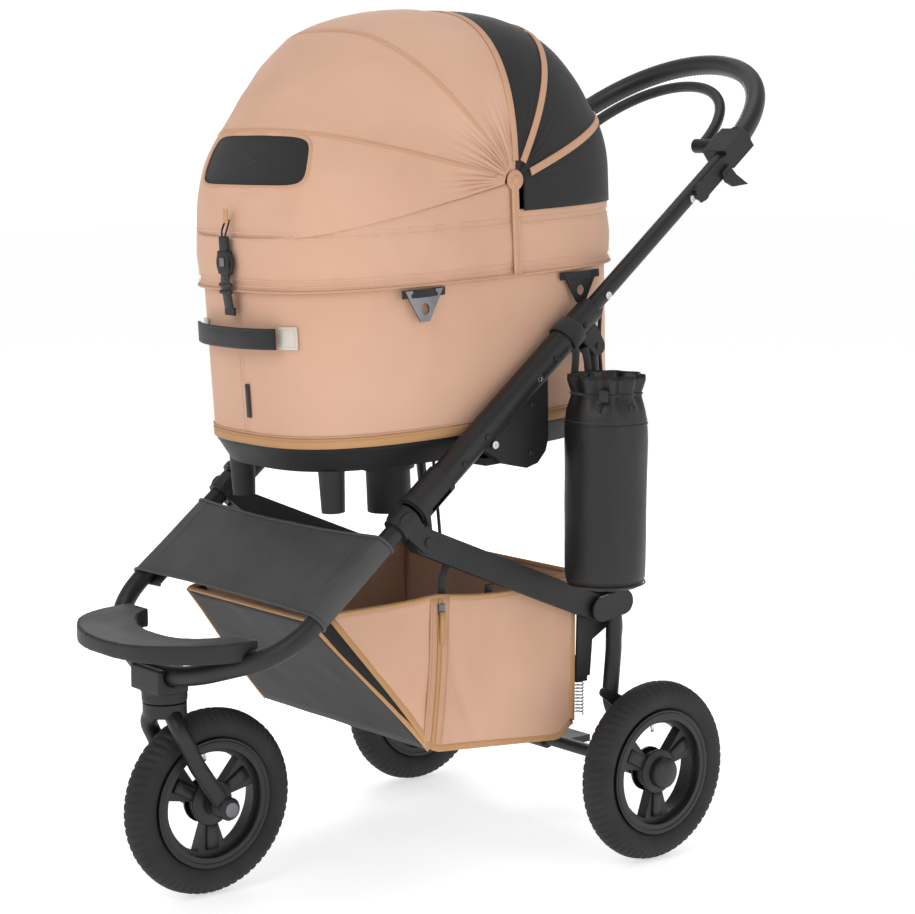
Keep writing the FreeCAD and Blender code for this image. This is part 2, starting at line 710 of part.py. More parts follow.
def lock_collar():
    """Sleeve on the upper tube with a long window and a finger lip."""
    axis = Vector(0, 1, 0)
    start = Vector(FRAME_HALF, COLLAR_START, 0)
    body = Part.makeCylinder(COLLAR_R, COLLAR_LENGTH, start, axis)
    lip = Part.makeCylinder(COLLAR_R + 1.5, 8, start, axis)
    body = body.fuse(lip)
    body = body.cut(Part.makeCylinder(UPPER_TUBE_R + RUN, COLLAR_LENGTH + 2,
                                      Vector(FRAME_HALF, COLLAR_START - 1, 0), axis))
    window = box(FRAME_HALF + 8, FRAME_HALF + 30, COLLAR_START + 14, COLLAR_START + 52, -13, -6)
    return incline(body.cut(window))


def brake_bar():
    """Bow-shaped bar inside the handle loop, on two pivot barrels."""
    points = [Vector(BRAKE_BAR_HALF, BRAKE_BAR_S, 0),
              Vector(BRAKE_BAR_HALF, BRAKE_BAR_S + BRAKE_BAR_HALF, 0),
              Vector(-BRAKE_BAR_HALF, BRAKE_BAR_S + BRAKE_BAR_HALF, 0),
              Vector(-BRAKE_BAR_HALF, BRAKE_BAR_S, 0)]
    bow = pipe(points, [BRAKE_BAR_HALF - 1, BRAKE_BAR_HALF - 1], BRAKE_BAR_R)
    barrels = [rod(Vector(side * (BRAKE_BAR_HALF - 10), BRAKE_BAR_S, 0),
                   Vector(side * (FRAME_HALF - 27 - GAP), BRAKE_BAR_S, 0), 10)
               for side in (-1, 1)]
    body = fused([bow] + barrels)
    for side in (-1, 1):
        body = body.cut(rod(Vector(side * (BRAKE_BAR_HALF - 7), BRAKE_BAR_S, 0),
                            Vector(side * FRAME_HALF, BRAKE_BAR_S, 0), PIN_R + RUN))
    return incline(body)


def brake_catch():
    """Parking catch on the left bracket: a pointed thumb lever."""
    n = CATCH_N + 8
    x0 = FRAME_HALF + 17 + GAP
    outline = [(CATCH_S - 9, n - 9), (CATCH_S - 9, n + 6), (CATCH_S + 9, n + 8),
               (CATCH_S + 12, n - 12), (CATCH_S + 22, n - 37), (CATCH_S - 2, n - 22)]
    lever = plate_x(outline, x0, x0 + 5)
    lever = lever.cut(rod(Vector(x0 - 1, CATCH_S, n), Vector(x0 + 6, CATCH_S, n), 3 + RUN))
    return incline(lever)


def brake_arm():
    x0 = FRAME_HALF + 26.5
    arm = hull_plate([(-33, 214, 10), (-62, 232, 6), ], x0, x0 + 4)
    foot = hull_plate([(-33, 214, 10), (-48, 176, 8)], x0, x0 + 4)
    body = fused([arm, foot])
    return body.cut(rod_x(x0 - 1, x0 + 6, -33, 214, HINGE_PIN_R + RUN))


def brake_springs():
    """Coil springs below the cross tube, as closed sleeves of their outside size."""
    top = CROSS_TUBE_Z - SPRING_DROP - 0.2
    foot = top - 46
    shell = rod(Vector(SPRING_X, SPRING_Y, foot), Vector(SPRING_X, SPRING_Y, top), 7)
    core = rod(Vector(SPRING_X, SPRING_Y, foot - 1), Vector(SPRING_X, SPRING_Y, top + 1), 4.5)
    return pair(shell.cut(core))


def foot_pedal():
    sleeve = rod_x(-45, 45, 0, WHEEL_R, 14)
    arm = box(-14, 14, 6, 52, WHEEL_R - 14, WHEEL_R - 4)
    pad = box(-38, 38, 44, 88, WHEEL_R - 20, WHEEL_R - 10)
    body = fused([sleeve, arm, pad])
    return body.cut(rod_x(-60, 60, 0, WHEEL_R, AXLE_TUBE_R + RUN))


def bottle_bag():
    """Round leather-look bag with an open mouth and its hanging strap."""
    outer = rod(Vector(BAG_X, BAG_Y, BAG_BOTTOM), Vector(BAG_X, BAG_Y, BAG_TOP), BAG_R)
    room = rod(Vector(BAG_X, BAG_Y, BAG_BOTTOM + 4), Vector(BAG_X, BAG_Y, BAG_TOP + 1),
               BAG_R - BAG_WALL)
    hook_x = FRAME_HALF + 24
    strap = box(hook_x, hook_x + 4, BAG_Y - 11, BAG_Y + 11, BAG_TOP - 30, BAG_TOP + 38)
    shoulder = box(hook_x, BAG_X - BAG_R + 12, BAG_Y - 11, BAG_Y + 11, BAG_TOP - 30, BAG_TOP - 26)
    body = fused([outer, strap, shoulder])
    return body.cut(room)


# ---- cot ---------------------------------------------------------------------------

def cot_wall():
    outer = oval_solid(COT_BASE_A, COT_BASE_B, 0, COT_TOP_A, COT_TOP_B, COT_WALL_H)
    inner = oval_solid(COT_BASE_A - COT_WALL, COT_BASE_B - COT_WALL, -1,
                       COT_TOP_A - COT_WALL, COT_TOP_B - COT_WALL, COT_WALL_H + 1)
    return cot_place(outer.cut(inner))


def cot_tray():
    top_a = COT_BASE_A - GAP
    top_b = COT_BASE_B - GAP
    outer = oval_solid(top_a - TRAY_TAPER, top_b - TRAY_TAPER, -TRAY_DEPTH, top_a, top_b, -GAP)
    wall = 4.0
    inner = oval_solid(top_a - TRAY_TAPER - wall + 2, top_b - TRAY_TAPER - wall + 2, -TRAY_DEPTH + wall,
                       top_a - wall, top_b - wall, 0)
    feet = []
    for x in (-FOOT_X, FOOT_X):
        for y in (-FOOT_Y, FOOT_Y):
            feet.append(Part.makeCone(FOOT_R - 2, FOOT_R, FOOT_DROP - TRAY_DEPTH + 1,
                                      Vector(x, y, -FOOT_DROP)))
    return cot_place(fused([outer.cut(inner)] + feet))


def floor_mat():
    a = COT_BASE_A - COT_WALL - 1.5
    b = COT_BASE_B - COT_WALL - 1.5
    return cot_place(oval_solid(a, b, 0.3, a, b, MAT_THICK))


def wedge(deg_low, deg_high):
    """Prism across the cot between two angles about the canopy pivot, front at 0 degrees."""
    reach = 700.0
    points = [Vector(-300, HINGE_Y, HINGE_Z)]
    steps = 4
    for step in range(steps + 1):
        turn = math.radians(deg_low + (deg_high - deg_low) * step / steps)
        points.append(Vector(-300, HINGE_Y - reach * math.cos(turn),
                             HINGE_Z + reach * math.sin(turn)))
    return polygon_face(points).extrude(Vector(600, 0, 0))


def canopy_skirt():
    """Band round the rim; its top edge rises to the canopy pivots."""
    a = COT_TOP_A + SKIRT_GAP
    b = COT_TOP_B + SKIRT_GAP
    outer = oval_solid(a + SKIRT_THICK, b + SKIRT_THICK, SKIRT_BOTTOM,
                       a + SKIRT_THICK, b + SKIRT_THICK, HINGE_Z - 2)
    inner = oval_solid(a, b, SKIRT_BOTTOM - 1, a, b, HINGE_Z)
    body = outer.cut(inner)
    body = body.cut(wedge(FRONT_LOW_DEG - 0.4, 90)).cut(wedge(90, REAR_LOW_DEG + 0.4))
    side = Part.makeCylinder(HINGE_CLEAR + 4, 600, Vector(-300, HINGE_Y, HINGE_Z), Vector(1, 0, 0))
    return cot_place(body.cut(side))


def reach_at(deg):
    """Distance from the pivot axis to the canopy's crest at an angle from the front.

    It holds for the front panel; the mid panel lies one layer lower, the others two.
    """
    table = [(FRONT_LOW_DEG, FRONT_REACH), (FRONT_HOOP_DEG, 291), (MID_HOOP_DEG, 253 + LAYER),
             (TOP_HOOP_DEG, CROWN_REACH + 2 * LAYER), (130, CROWN_REACH + 16 + 2 * LAYER),
             (REAR_HOOP_DEG, REAR_REACH + 2 * LAYER), (REAR_LOW_DEG, REAR_REACH + 9 + 2 * LAYER)]
    for (d0, r0), (d1, r1) in zip(table, table[1:]):
        if deg <= d1:
            share = (deg - d0) / (d1 - d0)
            return r0 + (r1 - r0) * share
    return table[-1][1]


def hoop_wire(deg, half, extra, thick):
    """Closed strip outline in the hoop plane: outer bow, inner bow and two end lines."""
    turn = math.radians(deg)
    bows = []
    for inward in (0.0, thick):
        a = half - inward
        rho = reach_at(deg) + extra - inward
        first = math.asin((HINGE_CLEAR / rho) ** (CANOPY_POWER / 2))
        points = []
        count = 17
        for step in range(count):
            t = first + (math.pi - 2 * first) * step / (count - 1)
            x = a * math.copysign(abs(math.cos(t)) ** (2 / CANOPY_POWER), math.cos(t))
            q = rho * math.sin(t) ** (2 / CANOPY_POWER)
            points.append(Vector(x, HINGE_Y - q * math.cos(turn), HINGE_Z + q * math.sin(turn)))
        curve = Part.BSplineCurve()
        curve.interpolate(points)
        bows.append((curve.toShape(), points))
    outer, outer_points = bows[0]
    inner, inner_points = bows[1]
    ends = [Part.makeLine(outer_points[-1], inner_points[-1]),
            Part.makeLine(inner_points[0], outer_points[0])]
    return Part.Wire(Part.__sortEdges__([outer, ends[0], inner, ends[1]]))


def canopy_shell(deg_from, deg_to, half, extra=0.0, thick=FABRIC, steps=4):
    """Curved sheet between two hoop planes."""
    wires = []
    for step in range(steps + 1):
        deg = deg_from + (deg_to - deg_from) * step / steps
        wires.append(hoop_wire(deg, half, extra, thick))
    return Part.makeLoft(wires, True, True)


def hoop(deg_from, half, extra=0.0, bore=None, gap=HOOP_GAP):
    """Flat hoop strip under the fabric, with a round eye on each pivot."""
    under = FABRIC + gap
    strip = canopy_shell(deg_from, deg_from + HOOP_DEG, half - under, extra - under, HOOP_THICK, 1)
    if bore is None:
        return strip
    solids = [strip]
    eye_r = HINGE_CLEAR - 1
    for side in (-1, 1):
        outer_x = side * (half - under)
        inner_x = side * (half - under - HOOP_THICK)
        eye = rod(Vector(outer_x, HINGE_Y, HINGE_Z), Vector(inner_x, HINGE_Y, HINGE_Z), eye_r)
        turn = math.radians(deg_from + HOOP_DEG / 2)
        neck_end = Vector(0, HINGE_Y - 20 * math.cos(turn), HINGE_Z + 20 * math.sin(turn))
        across = Vector(0, math.sin(turn), math.cos(turn)) * 3.5
        foot = Vector(0, HINGE_Y, HINGE_Z)
        corners = [foot - across, neck_end - across, neck_end + across, foot + across]
        face = polygon_face([Vector(inner_x, corner.y, corner.z) for corner in corners])
        neck = face.extrude(Vector(outer_x - inner_x, 0, 0))
        solids += [eye, neck]
    body = fused(solids)
    if bore:
        body = body.cut(rod(Vector(-300, HINGE_Y, HINGE_Z), Vector(300, HINGE_Y, HINGE_Z), bore))
    return body


def build_canopy():
    front_half = CANOPY_HALF
    mid_half = front_half - LAYER
    top_half = mid_half - LAYER
    mid_drop = -LAYER
    top_drop = -2 * LAYER
    bore = HINGE_PIN_R + RUN
    front_end = FRONT_HOOP_DEG
    keep("canopy_front", cot_place(canopy_shell(FRONT_LOW_DEG, front_end, front_half)))
    keep("front_hoop", cot_place(hoop(front_end - HOOP_DEG, front_half, 0.0, bore)))
    mid = canopy_shell(front_end + SEAM_GAP_DEG, MID_HOOP_DEG, mid_half, mid_drop)
    keep("canopy_mid", cot_place(mid))
    keep("mid_hoop", cot_place(hoop(MID_HOOP_DEG - HOOP_DEG, mid_half, mid_drop, bore)))
    top = canopy_shell(MID_HOOP_DEG + SEAM_GAP_DEG, TOP_HOOP_DEG, top_half, top_drop)
    keep("canopy_top", cot_place(top))
    pins = [rod(Vector(side * (top_half - 4), HINGE_Y, HINGE_Z),
                Vector(side * (front_half - 1), HINGE_Y, HINGE_Z), HINGE_PIN_R)
            for side in (-1, 1)]
    top_bar = hoop(TOP_HOOP_DEG - HOOP_DEG, top_half, top_drop, 0)
    keep("top_hoop", cot_place(fused([top_bar] + pins)))
    rear = canopy_shell(TOP_HOOP_DEG + SEAM_GAP_DEG, REAR_LOW_DEG, top_half, top_drop, steps=8)
    keep("canopy_rear", cot_place(rear))
    keep("rear_hoop", cot_place(hoop(REAR_HOOP_DEG, top_half, top_drop, gap=REAR_HOOP_GAP)))


def grab_strap():
    """Bowed webbing handle across the front of the cot."""
    height = (STRAP_LOW + STRAP_HIGH) / 2 / COT_WALL_H
    a = COT_BASE_A + (COT_TOP_A - COT_BASE_A) * height
    b = COT_BASE_B + (COT_TOP_B - COT_BASE_B) * height
    foot = b * (1 - (STRAP_HALF / a) ** COT_POWER) ** (1 / COT_POWER) + 1.5
    edges = []
    bows = []
    for out in (0.0, STRAP_THICK):
        left = Vector(-STRAP_HALF, -foot - out, STRAP_LOW)
        right = Vector(STRAP_HALF, -foot - out, STRAP_LOW)
        middle = Vector(0, -b - STRAP_BOW - out, STRAP_LOW)
        bows.append((Part.Arc(left, middle, right).toShape(), left, right))
    edges = [bows[0][0], Part.makeLine(bows[0][2], bows[1][2]), bows[1][0],
             Part.makeLine(bows[1][1], bows[0][1])]
    face = Part.Face(Part.Wire(Part.__sortEdges__(edges)))
    return cot_place(face.extrude(Vector(0, 0, STRAP_HIGH - STRAP_LOW)))


def d_ring(side, y):
    """Triangular ring plate hanging from its webbing slot."""
    x0 = wall_half_width(min(abs(y) - 32, 115)) + 1.2
    top = RING_TOP
    outline = [(y - RING_W / 2, top), (y + RING_W / 2, top), (y + 7, top - RING_H),
               (y - 7, top - RING_H)]
    plate = plate_x(outline, x0, x0 + RING_THICK)
    slot = box(x0 - 1, x0 + 5, y - RING_W / 2 + 9, y + RING_W / 2 - 9, top - 9, top - 4)
    hole = rod(Vector(x0 - 1, y, top - 24), Vector(x0 + 5, y, top - 24), RING_HOLE_R)
    body = plate.cut(slot).cut(hole)
    if side < 0:
        body = mirrored(body)
    return cot_place(body)


def build_frame():
    keep("upper_tube_left", upper_tube())
    keep("upper_tube_right", mirrored(upper_tube()))
    keep("handle_tube", handle_tube())
    keep("handle_grip", handle_grip())
    keep("handle_brackets", pair(handle_bracket()))
    keep("strut_brackets", pair(strut_bracket()))
    keep("side_plates", pair(side_plate()))
    left_beam = rear_beam_bolts_clear(beam())
    keep("beam_left", left_beam)
    keep("beam_right", mirrored(left_beam))
    keep("struts", pair(strut()))
    keep("rear_brackets", pair(rear_bracket()))
    keep("rear_leg_left", rear_leg())
    keep("rear_leg_right", mirrored(rear_leg()))
    keep("cross_tube", cross_tube())
    keep("rear_axle", rear_axle())
    keep("cot_carrier", cot_carrier())
    keep("rivets", rivets())
    keep("chrome_screws", chrome_screws())
    keep("basket", basket())
    keep("basket_zip_pull", basket_zip_pull())
    keep("brake_cables", pair(brake_cable()))
    keep("brake_springs", brake_springs())


def build_front():
    keep("front_tube", front_tube(FRONT_TUBE_R, FRONT_TUBE_R - 1.8))
    keep("lower_brackets", pair(lower_bracket()))
    keep("footplate", footplate())
    keep("apron", apron())
    keep("caster_housing", caster_housing())
    keep("fork", fork())
    keep("front_axle", front_axle())
    keep("front_tyre", tyre(0, -WHEELBASE))
    keep("front_rim", rim(0, -WHEELBASE, 22))


def build_moving():
    half = REAR_TRACK / 2
    for name, side in (("left", 1), ("right", -1)):
        keep("rear_tyre_" + name, tyre(side * half, 0))
        keep("rear_rim_" + name, rim(side * half, 0, 23))
        collar = lock_collar()
        arm = brake_arm()
        if side < 0:
            collar = mirrored(collar)
            arm = mirrored(arm)
        keep("lock_collar_" + name, collar)
        keep("brake_arm_" + name, arm)
        for place, y in zip(("front", "rear"), RING_Y):
            keep("d_ring_" + place + "_" + name, d_ring(side, y))
    keep("brake_bar", brake_bar())
    keep("brake_catch", brake_catch())
    keep("foot_pedal", foot_pedal())
    keep("bottle_bag", bottle_bag())


def build_cot():
    keep("cot_wall", cot_wall())
    keep("cot_tray", cot_tray())
    keep("floor_mat", floor_mat())
    keep("canopy_skirt", canopy_skirt())
    keep("grab_strap", grab_strap())
    build_canopy()


def main():
    os.makedirs("parts", exist_ok=True)
    build_frame()
    build_front()
    build_moving()
    build_cot()
    for name, shape in PARTS.items():
        placed = shape.copy()
        placed.translate(Vector(ORIGIN_SHIFT_X, ORIGIN_SHIFT_Y, 0))
        placed.exportStep("parts/" + name + ".step")


if __name__ == "__main__":
    main()
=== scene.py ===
import math
import bmesh
import bpy
from mathutils import Matrix, Vector, kdtree, noise


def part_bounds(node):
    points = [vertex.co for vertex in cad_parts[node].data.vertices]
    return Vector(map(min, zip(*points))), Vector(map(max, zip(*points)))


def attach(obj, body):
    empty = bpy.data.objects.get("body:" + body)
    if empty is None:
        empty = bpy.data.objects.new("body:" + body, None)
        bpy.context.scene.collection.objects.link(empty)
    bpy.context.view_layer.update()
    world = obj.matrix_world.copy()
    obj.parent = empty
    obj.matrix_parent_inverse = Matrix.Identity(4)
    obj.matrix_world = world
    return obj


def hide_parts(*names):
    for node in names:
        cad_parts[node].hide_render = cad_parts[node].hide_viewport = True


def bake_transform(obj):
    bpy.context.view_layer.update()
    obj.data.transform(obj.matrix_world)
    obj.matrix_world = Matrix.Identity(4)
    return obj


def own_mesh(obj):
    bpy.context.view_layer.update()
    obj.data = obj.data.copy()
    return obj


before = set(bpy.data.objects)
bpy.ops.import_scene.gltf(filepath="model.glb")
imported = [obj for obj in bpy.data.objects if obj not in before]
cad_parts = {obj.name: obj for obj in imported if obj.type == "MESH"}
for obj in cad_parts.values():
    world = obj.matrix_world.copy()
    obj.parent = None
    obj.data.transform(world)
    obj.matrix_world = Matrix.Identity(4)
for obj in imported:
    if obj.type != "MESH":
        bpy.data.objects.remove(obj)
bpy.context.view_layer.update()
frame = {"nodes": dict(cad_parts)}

# ---- where things are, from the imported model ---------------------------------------
AXLE = [(a + b) / 2 for a, b in zip(*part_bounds("rear_axle"))]
CX, AX = AXLE[0], AXLE[1]
TILT = math.radians(38.8)
CT, ST = math.cos(TILT), math.sin(TILT)
COT_TILT = math.radians(2.84)
CR, SR = math.cos(COT_TILT), math.sin(COT_TILT)
FRAME_HALF = 0.197
HINGE_Y, HINGE_Z = 0.034, 0.319
POWER = 2.76
HALF = 0.184
TUBE_BACK, TUBE_Z = 0.3744, 0.4959
COT_BACK, COT_Z = 0.204, 0.5935
SKIRT_LOW = 0.1965


def part_box(name):
    """A part's box, with x measured from the stroller's middle plane."""
    low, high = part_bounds(name)
    return (low[0] - CX, low[1], low[2]), (high[0] - CX, high[1], high[2])


def tube_p(x, s, n=0.0):
    """Point in the inclined tube's frame: along the tube and above it."""
    return Vector((x, AX - TUBE_BACK + s * CT - n * ST, TUBE_Z + s * ST + n * CT))


def cot_p(x, y, z):
    """Point in the cot's own tilted frame."""
    return Vector((x, AX - COT_BACK + y * CR - z * SR, COT_Z + y * SR + z * CR))


def cot_dir(x, y, z):
    return Vector((x, y * CR - z * SR, y * SR + z * CR))


def frame_p(x, y, z):
    return Vector((x, AX + y, z))


# ---- materials ---------------------------------------------------------------------
def node(tree, kind, **values):
    made = tree.nodes.new(kind)
    for key, value in values.items():
        if key in made.inputs:
            made.inputs[key].default_value = value
        else:
            setattr(made, key, value)
    return made


def colour(hex_code):
    out = []
    for i in (0, 2, 4):
        c = int(hex_code[i:i + 2], 16) / 255
        out.append(c / 12.92 if c <= 0.04045 else ((c + 0.055) / 1.055) ** 2.4)
    return (*out, 1.0)


def base_material(name, rough, metallic=0.0, sheen=0.0, coat=0.0):
    mat = bpy.data.materials.new(name)
    mat.use_nodes = True
    shader = mat.node_tree.nodes["Principled BSDF"]
    shader.inputs["Roughness"].default_value = rough
    shader.inputs["Metallic"].default_value = metallic
    shader.inputs["Sheen Weight"].default_value = sheen
    shader.inputs["Coat Weight"].default_value = coat
    return mat, mat.node_tree, shader


def vary(tree, shader, dark, light, scale, detail=3.0, coords=None):
    """Soft colour variation from one tone to another."""
    coords = coords or node(tree, "ShaderNodeTexCoord")
    cloud = node(tree, "ShaderNodeTexNoise", Scale=scale, Detail=detail, Roughness=0.55)
    tree.links.new(coords.outputs["Object"], cloud.inputs["Vector"])
    ramp = node(tree, "ShaderNodeValToRGB")
    ramp.color_ramp.elements[0].position = 0.3
    ramp.color_ramp.elements[1].position = 0.72
    ramp.color_ramp.elements[0].color = dark
    ramp.color_ramp.elements[1].color = light
    tree.links.new(cloud.outputs["Fac"], ramp.inputs["Fac"])
    tree.links.new(ramp.outputs["Color"], shader.inputs["Base Color"])
    return coords, ramp


def bump_chain(tree, shader, heights):
    """heights: list of (socket, strength, distance) stacked into one normal."""
    previous = None
    for socket, strength, distance in heights:
        bump = node(tree, "ShaderNodeBump", Strength=strength, Distance=distance)
        tree.links.new(socket, bump.inputs["Height"])
        if previous is not None:
            tree.links.new(previous.outputs["Normal"], bump.inputs["Normal"])
        previous = bump
    tree.links.new(previous.outputs["Normal"], shader.inputs["Normal"])


def weave(tree, coords, scale):
    """Over-and-under cloth: two crossed bands on all three axes."""
    first = node(tree, "ShaderNodeTexWave", bands_direction="Z", Scale=scale, Distortion=0.6)
    second = node(tree, "ShaderNodeTexWave", bands_direction="DIAGONAL", Scale=scale * 0.62, Distortion=0.6)
    for wave in (first, second):
        tree.links.new(coords.outputs["Object"], wave.inputs["Vector"])
    mixed = node(tree, "ShaderNodeMath", operation="MULTIPLY")
    tree.links.new(first.outputs["Fac"], mixed.inputs[0])
    tree.links.new(second.outputs["Fac"], mixed.inputs[1])
    return mixed.outputs["Value"]


def fabric(name, dark, light, rough=0.82, sheen=0.25, weave_scale=420, crease=0.35):
    mat, tree, shader = base_material(name, rough, sheen=sheen)
    coords, ramp = vary(tree, shader, colour(dark), colour(light), 5.0)
    fine = weave(tree, coords, weave_scale)
    folds = node(tree, "ShaderNodeTexNoise", Scale=9.0, Detail=2.0, Distortion=0.6)
    grain = node(tree, "ShaderNodeTexNoise", Scale=900.0, Detail=2.0)
    for item in (folds, grain):
        tree.links.new(coords.outputs["Object"], item.inputs["Vector"])
    bump_chain(tree, shader, [(folds.outputs["Fac"], crease, 0.004), (fine, 0.35, 0.0003),
                              (grain.outputs["Fac"], 0.25, 0.0002)])
    return mat


def mesh_cloth(name):
    """Open mesh: a dark knit with rows of small holes."""
    mat, tree, shader = base_material(name, 0.75, sheen=0.1)
    coords = node(tree, "ShaderNodeTexCoord")
    cells = node(tree, "ShaderNodeTexVoronoi", Scale=760.0, Randomness=0.35)
    tree.links.new(coords.outputs["Object"], cells.inputs["Vector"])
    ramp = node(tree, "ShaderNodeValToRGB")
    ramp.color_ramp.elements[0].position = 0.25
    ramp.color_ramp.elements[1].position = 0.6
    ramp.color_ramp.elements[0].color = colour("070707")
    ramp.color_ramp.elements[1].color = colour("141314")
    tree.links.new(cells.outputs["Distance"], ramp.inputs["Fac"])
    tree.links.new(ramp.outputs["Color"], shader.inputs["Base Color"])
    folds = node(tree, "ShaderNodeTexNoise", Scale=14.0, Detail=2.0, Distortion=1.2)
    tree.links.new(coords.outputs["Object"], folds.inputs["Vector"])
    bump_chain(tree, shader, [(folds.outputs["Fac"], 0.3, 0.003), (cells.outputs["Distance"], 0.3, 0.0003)])
    return mat


def hard(name, dark, light, rough, metallic=0.0, grain_scale=600.0, grain=0.12, coat=0.0, edge=0.0012):
    """Painted metal or moulded plastic: fine texture, uneven gloss and softened edges."""
    mat, tree, shader = base_material(name, rough, metallic, coat=coat)
    coords, ramp = vary(tree, shader, colour(dark), colour(light), 18.0)
    fine = node(tree, "ShaderNodeTexNoise", Scale=grain_scale, Detail=3.0)
    broad = node(tree, "ShaderNodeTexNoise", Scale=26.0, Detail=4.0)
    for item in (fine, broad):
        tree.links.new(coords.outputs["Object"], item.inputs["Vector"])
    gloss = node(tree, "ShaderNodeMapRange")
    gloss.inputs["To Min"].default_value = rough - 0.07
    gloss.inputs["To Max"].default_value = rough + 0.09
    tree.links.new(broad.outputs["Fac"], gloss.inputs["Value"])
    tree.links.new(gloss.outputs["Result"], shader.inputs["Roughness"])
    bump = node(tree, "ShaderNodeBump", Strength=grain, Distance=0.0004)
    tree.links.new(fine.outputs["Fac"], bump.inputs["Height"])
    if edge:
        round_edge = node(tree, "ShaderNodeBevel", samples=3, Radius=edge)
        tree.links.new(round_edge.outputs["Normal"], bump.inputs["Normal"])
    tree.links.new(bump.outputs["Normal"], shader.inputs["Normal"])
    return mat


def leather(name, dark, light, rough=0.42, scale=330.0, strength=0.35):
    mat, tree, shader = base_material(name, rough, coat=0.05)
    coords, ramp = vary(tree, shader, colour(dark), colour(light), 12.0)
    cells = node(tree, "ShaderNodeTexVoronoi", Scale=scale, feature="DISTANCE_TO_EDGE")
    soft = node(tree, "ShaderNodeTexNoise", Scale=22.0, Detail=3.0, Distortion=0.8)
    for item in (cells, soft):
        tree.links.new(coords.outputs["Object"], item.inputs["Vector"])
    bump_chain(tree, shader, [(soft.outputs["Fac"], 0.3, 0.003),
        (cells.outputs["Distance"], strength, 0.0006)])
    return mat


def webbing(name, dark, light, rough=0.7):
    """Ribbed narrow webbing."""
    mat, tree, shader = base_material(name, rough, sheen=0.15)
    coords, ramp = vary(tree, shader, colour(dark), colour(light), 60.0)
    ribs = node(tree, "ShaderNodeTexWave", bands_direction="X", Scale=330.0, Distortion=0.3)
    rows = node(tree, "ShaderNodeTexWave", bands_direction="Z", Scale=260.0, Distortion=0.3)
    for item in (ribs, rows):
        tree.links.new(coords.outputs["Object"], item.inputs["Vector"])
    bump_chain(tree, shader, [(ribs.outputs["Fac"], 0.4, 0.0004), (rows.outputs["Fac"], 0.35, 0.0004)])
    return mat


PEACH = fabric("peach_cloth", "cb9f84", "d8ae94", rough=0.8, sheen=0.12)
PEACH_TRIM = fabric("peach_trim", "c19374", "cea181", rough=0.78, sheen=0.1, weave_scale=600, crease=0.1)
TAN = fabric("tan_binding", "b98959", "c7986a", rough=0.75, sheen=0.1, weave_scale=700, crease=0.1)
CREAM = fabric("cream_patch", "cfc7bd", "ddd5cb", rough=0.6, weave_scale=700, crease=0.1)
MESH = mesh_cloth("black_mesh")
BLACK_CLOTH = fabric("black_cloth", "080808", "101010", rough=0.75, sheen=0.08)
FRAME = hard("frame_paint", "0e0e0f", "161617", 0.48, grain_scale=900.0, grain=0.1)
PLASTIC = hard("moulded_black", "111112", "1b1b1c", 0.55, grain_scale=520.0, grain=0.25)
RIM = hard("rim_plastic", "141415", "1e1e20", 0.46, grain_scale=420.0, grain=0.2)
CHROME = hard("bright_chrome", "c4c6ca", "dddfe2", 0.16, 1.0, grain=0.03, edge=0.0004)
SATIN = hard("satin_nickel", "77787c", "94959a", 0.34, 1.0, grain=0.08, edge=0.0005)
STEEL = hard("zinc_steel", "6b6c70", "808287", 0.38, 1.0, grain=0.1)
RUBBER = hard("tyre_rubber", "1a1a1b", "262628", 0.78, grain_scale=700.0, grain=0.3, edge=0.0)
APRON = leather("apron_skin", "3d3c3d", "4b494a", rough=0.6, scale=900.0, strength=0.12)
GRIP = leather("grip_skin", "121213", "1d1d1f", rough=0.45, scale=420.0, strength=0.3)
BAG = leather("bag_skin", "070707", "0d0d0d", rough=0.5, scale=520.0, strength=0.22)
PAD = leather("step_pad", "1b1b1c", "262627", rough=0.7, scale=620.0, strength=0.5)
BLACK_WEB = webbing("black_webbing", "101011", "1c1c1e")
STITCH = fabric("stitch_thread", "d9b298", "e4c0a8", rough=0.6, weave_scale=900, crease=0.0)
DARK_STITCH = fabric("dark_thread", "2a2a2c", "38383b", rough=0.6, weave_scale=900, crease=0.0)
TAN_STITCH = fabric("tan_thread", "a87c52", "b88a5e", rough=0.6, weave_scale=900, crease=0.0)
MAT_CLOTH = fabric("mat_cloth", "cdbba8", "ddcdbb", rough=0.9, sheen=0.3)

NODE_LOOK = {
    FRAME: ("upper_tube_left", "upper_tube_right", "handle_tube", "struts", "rear_leg_left", "rear_leg_right",
            "cross_tube", "rear_axle", "front_tube", "fork", "brake_bar"),
    PLASTIC: ("handle_brackets", "strut_brackets", "side_plates", "beam_left", "beam_right", "rear_brackets",
              "cot_carrier", "rivets", "lower_brackets", "footplate", "caster_housing", "lock_collar_left",
              "lock_collar_right", "brake_catch", "brake_arm_left", "brake_arm_right", "foot_pedal",
              "cot_tray",
              "front_hoop", "mid_hoop", "top_hoop", "rear_hoop", "brake_cables", "d_ring_rear_left",
              "d_ring_rear_right"),
    CHROME: ("chrome_screws",),
    STEEL: ("front_axle", "basket_zip_pull"),
    RIM: ("front_rim", "rear_rim_left", "rear_rim_right"),
    SATIN: ("d_ring_front_left", "d_ring_front_right"),
}
for look, names in NODE_LOOK.items():
    for name in names:
        piece = frame["nodes"][name] if isinstance(frame["nodes"], dict) else bpy.data.objects[name]
        if not piece.material_slots:
            piece.data.materials.append(look)
        for place in piece.material_slots:
            place.material = look


# ---- mesh helpers ------------------------------------------------------------------
def make(name, verts, faces, mat, body, smooth=True):
    mesh = bpy.data.meshes.new(name)
    mesh.from_pydata([(v[0] + CX, v[1], v[2]) for v in verts], [], faces)
    mesh.validate()
    mesh.materials.append(mat)
    for poly in mesh.polygons:
        poly.use_smooth = smooth
    obj = bpy.data.objects.new(name, mesh)
    bpy.context.scene.collection.objects.link(obj)
    if body:
        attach(obj, body)
    return obj


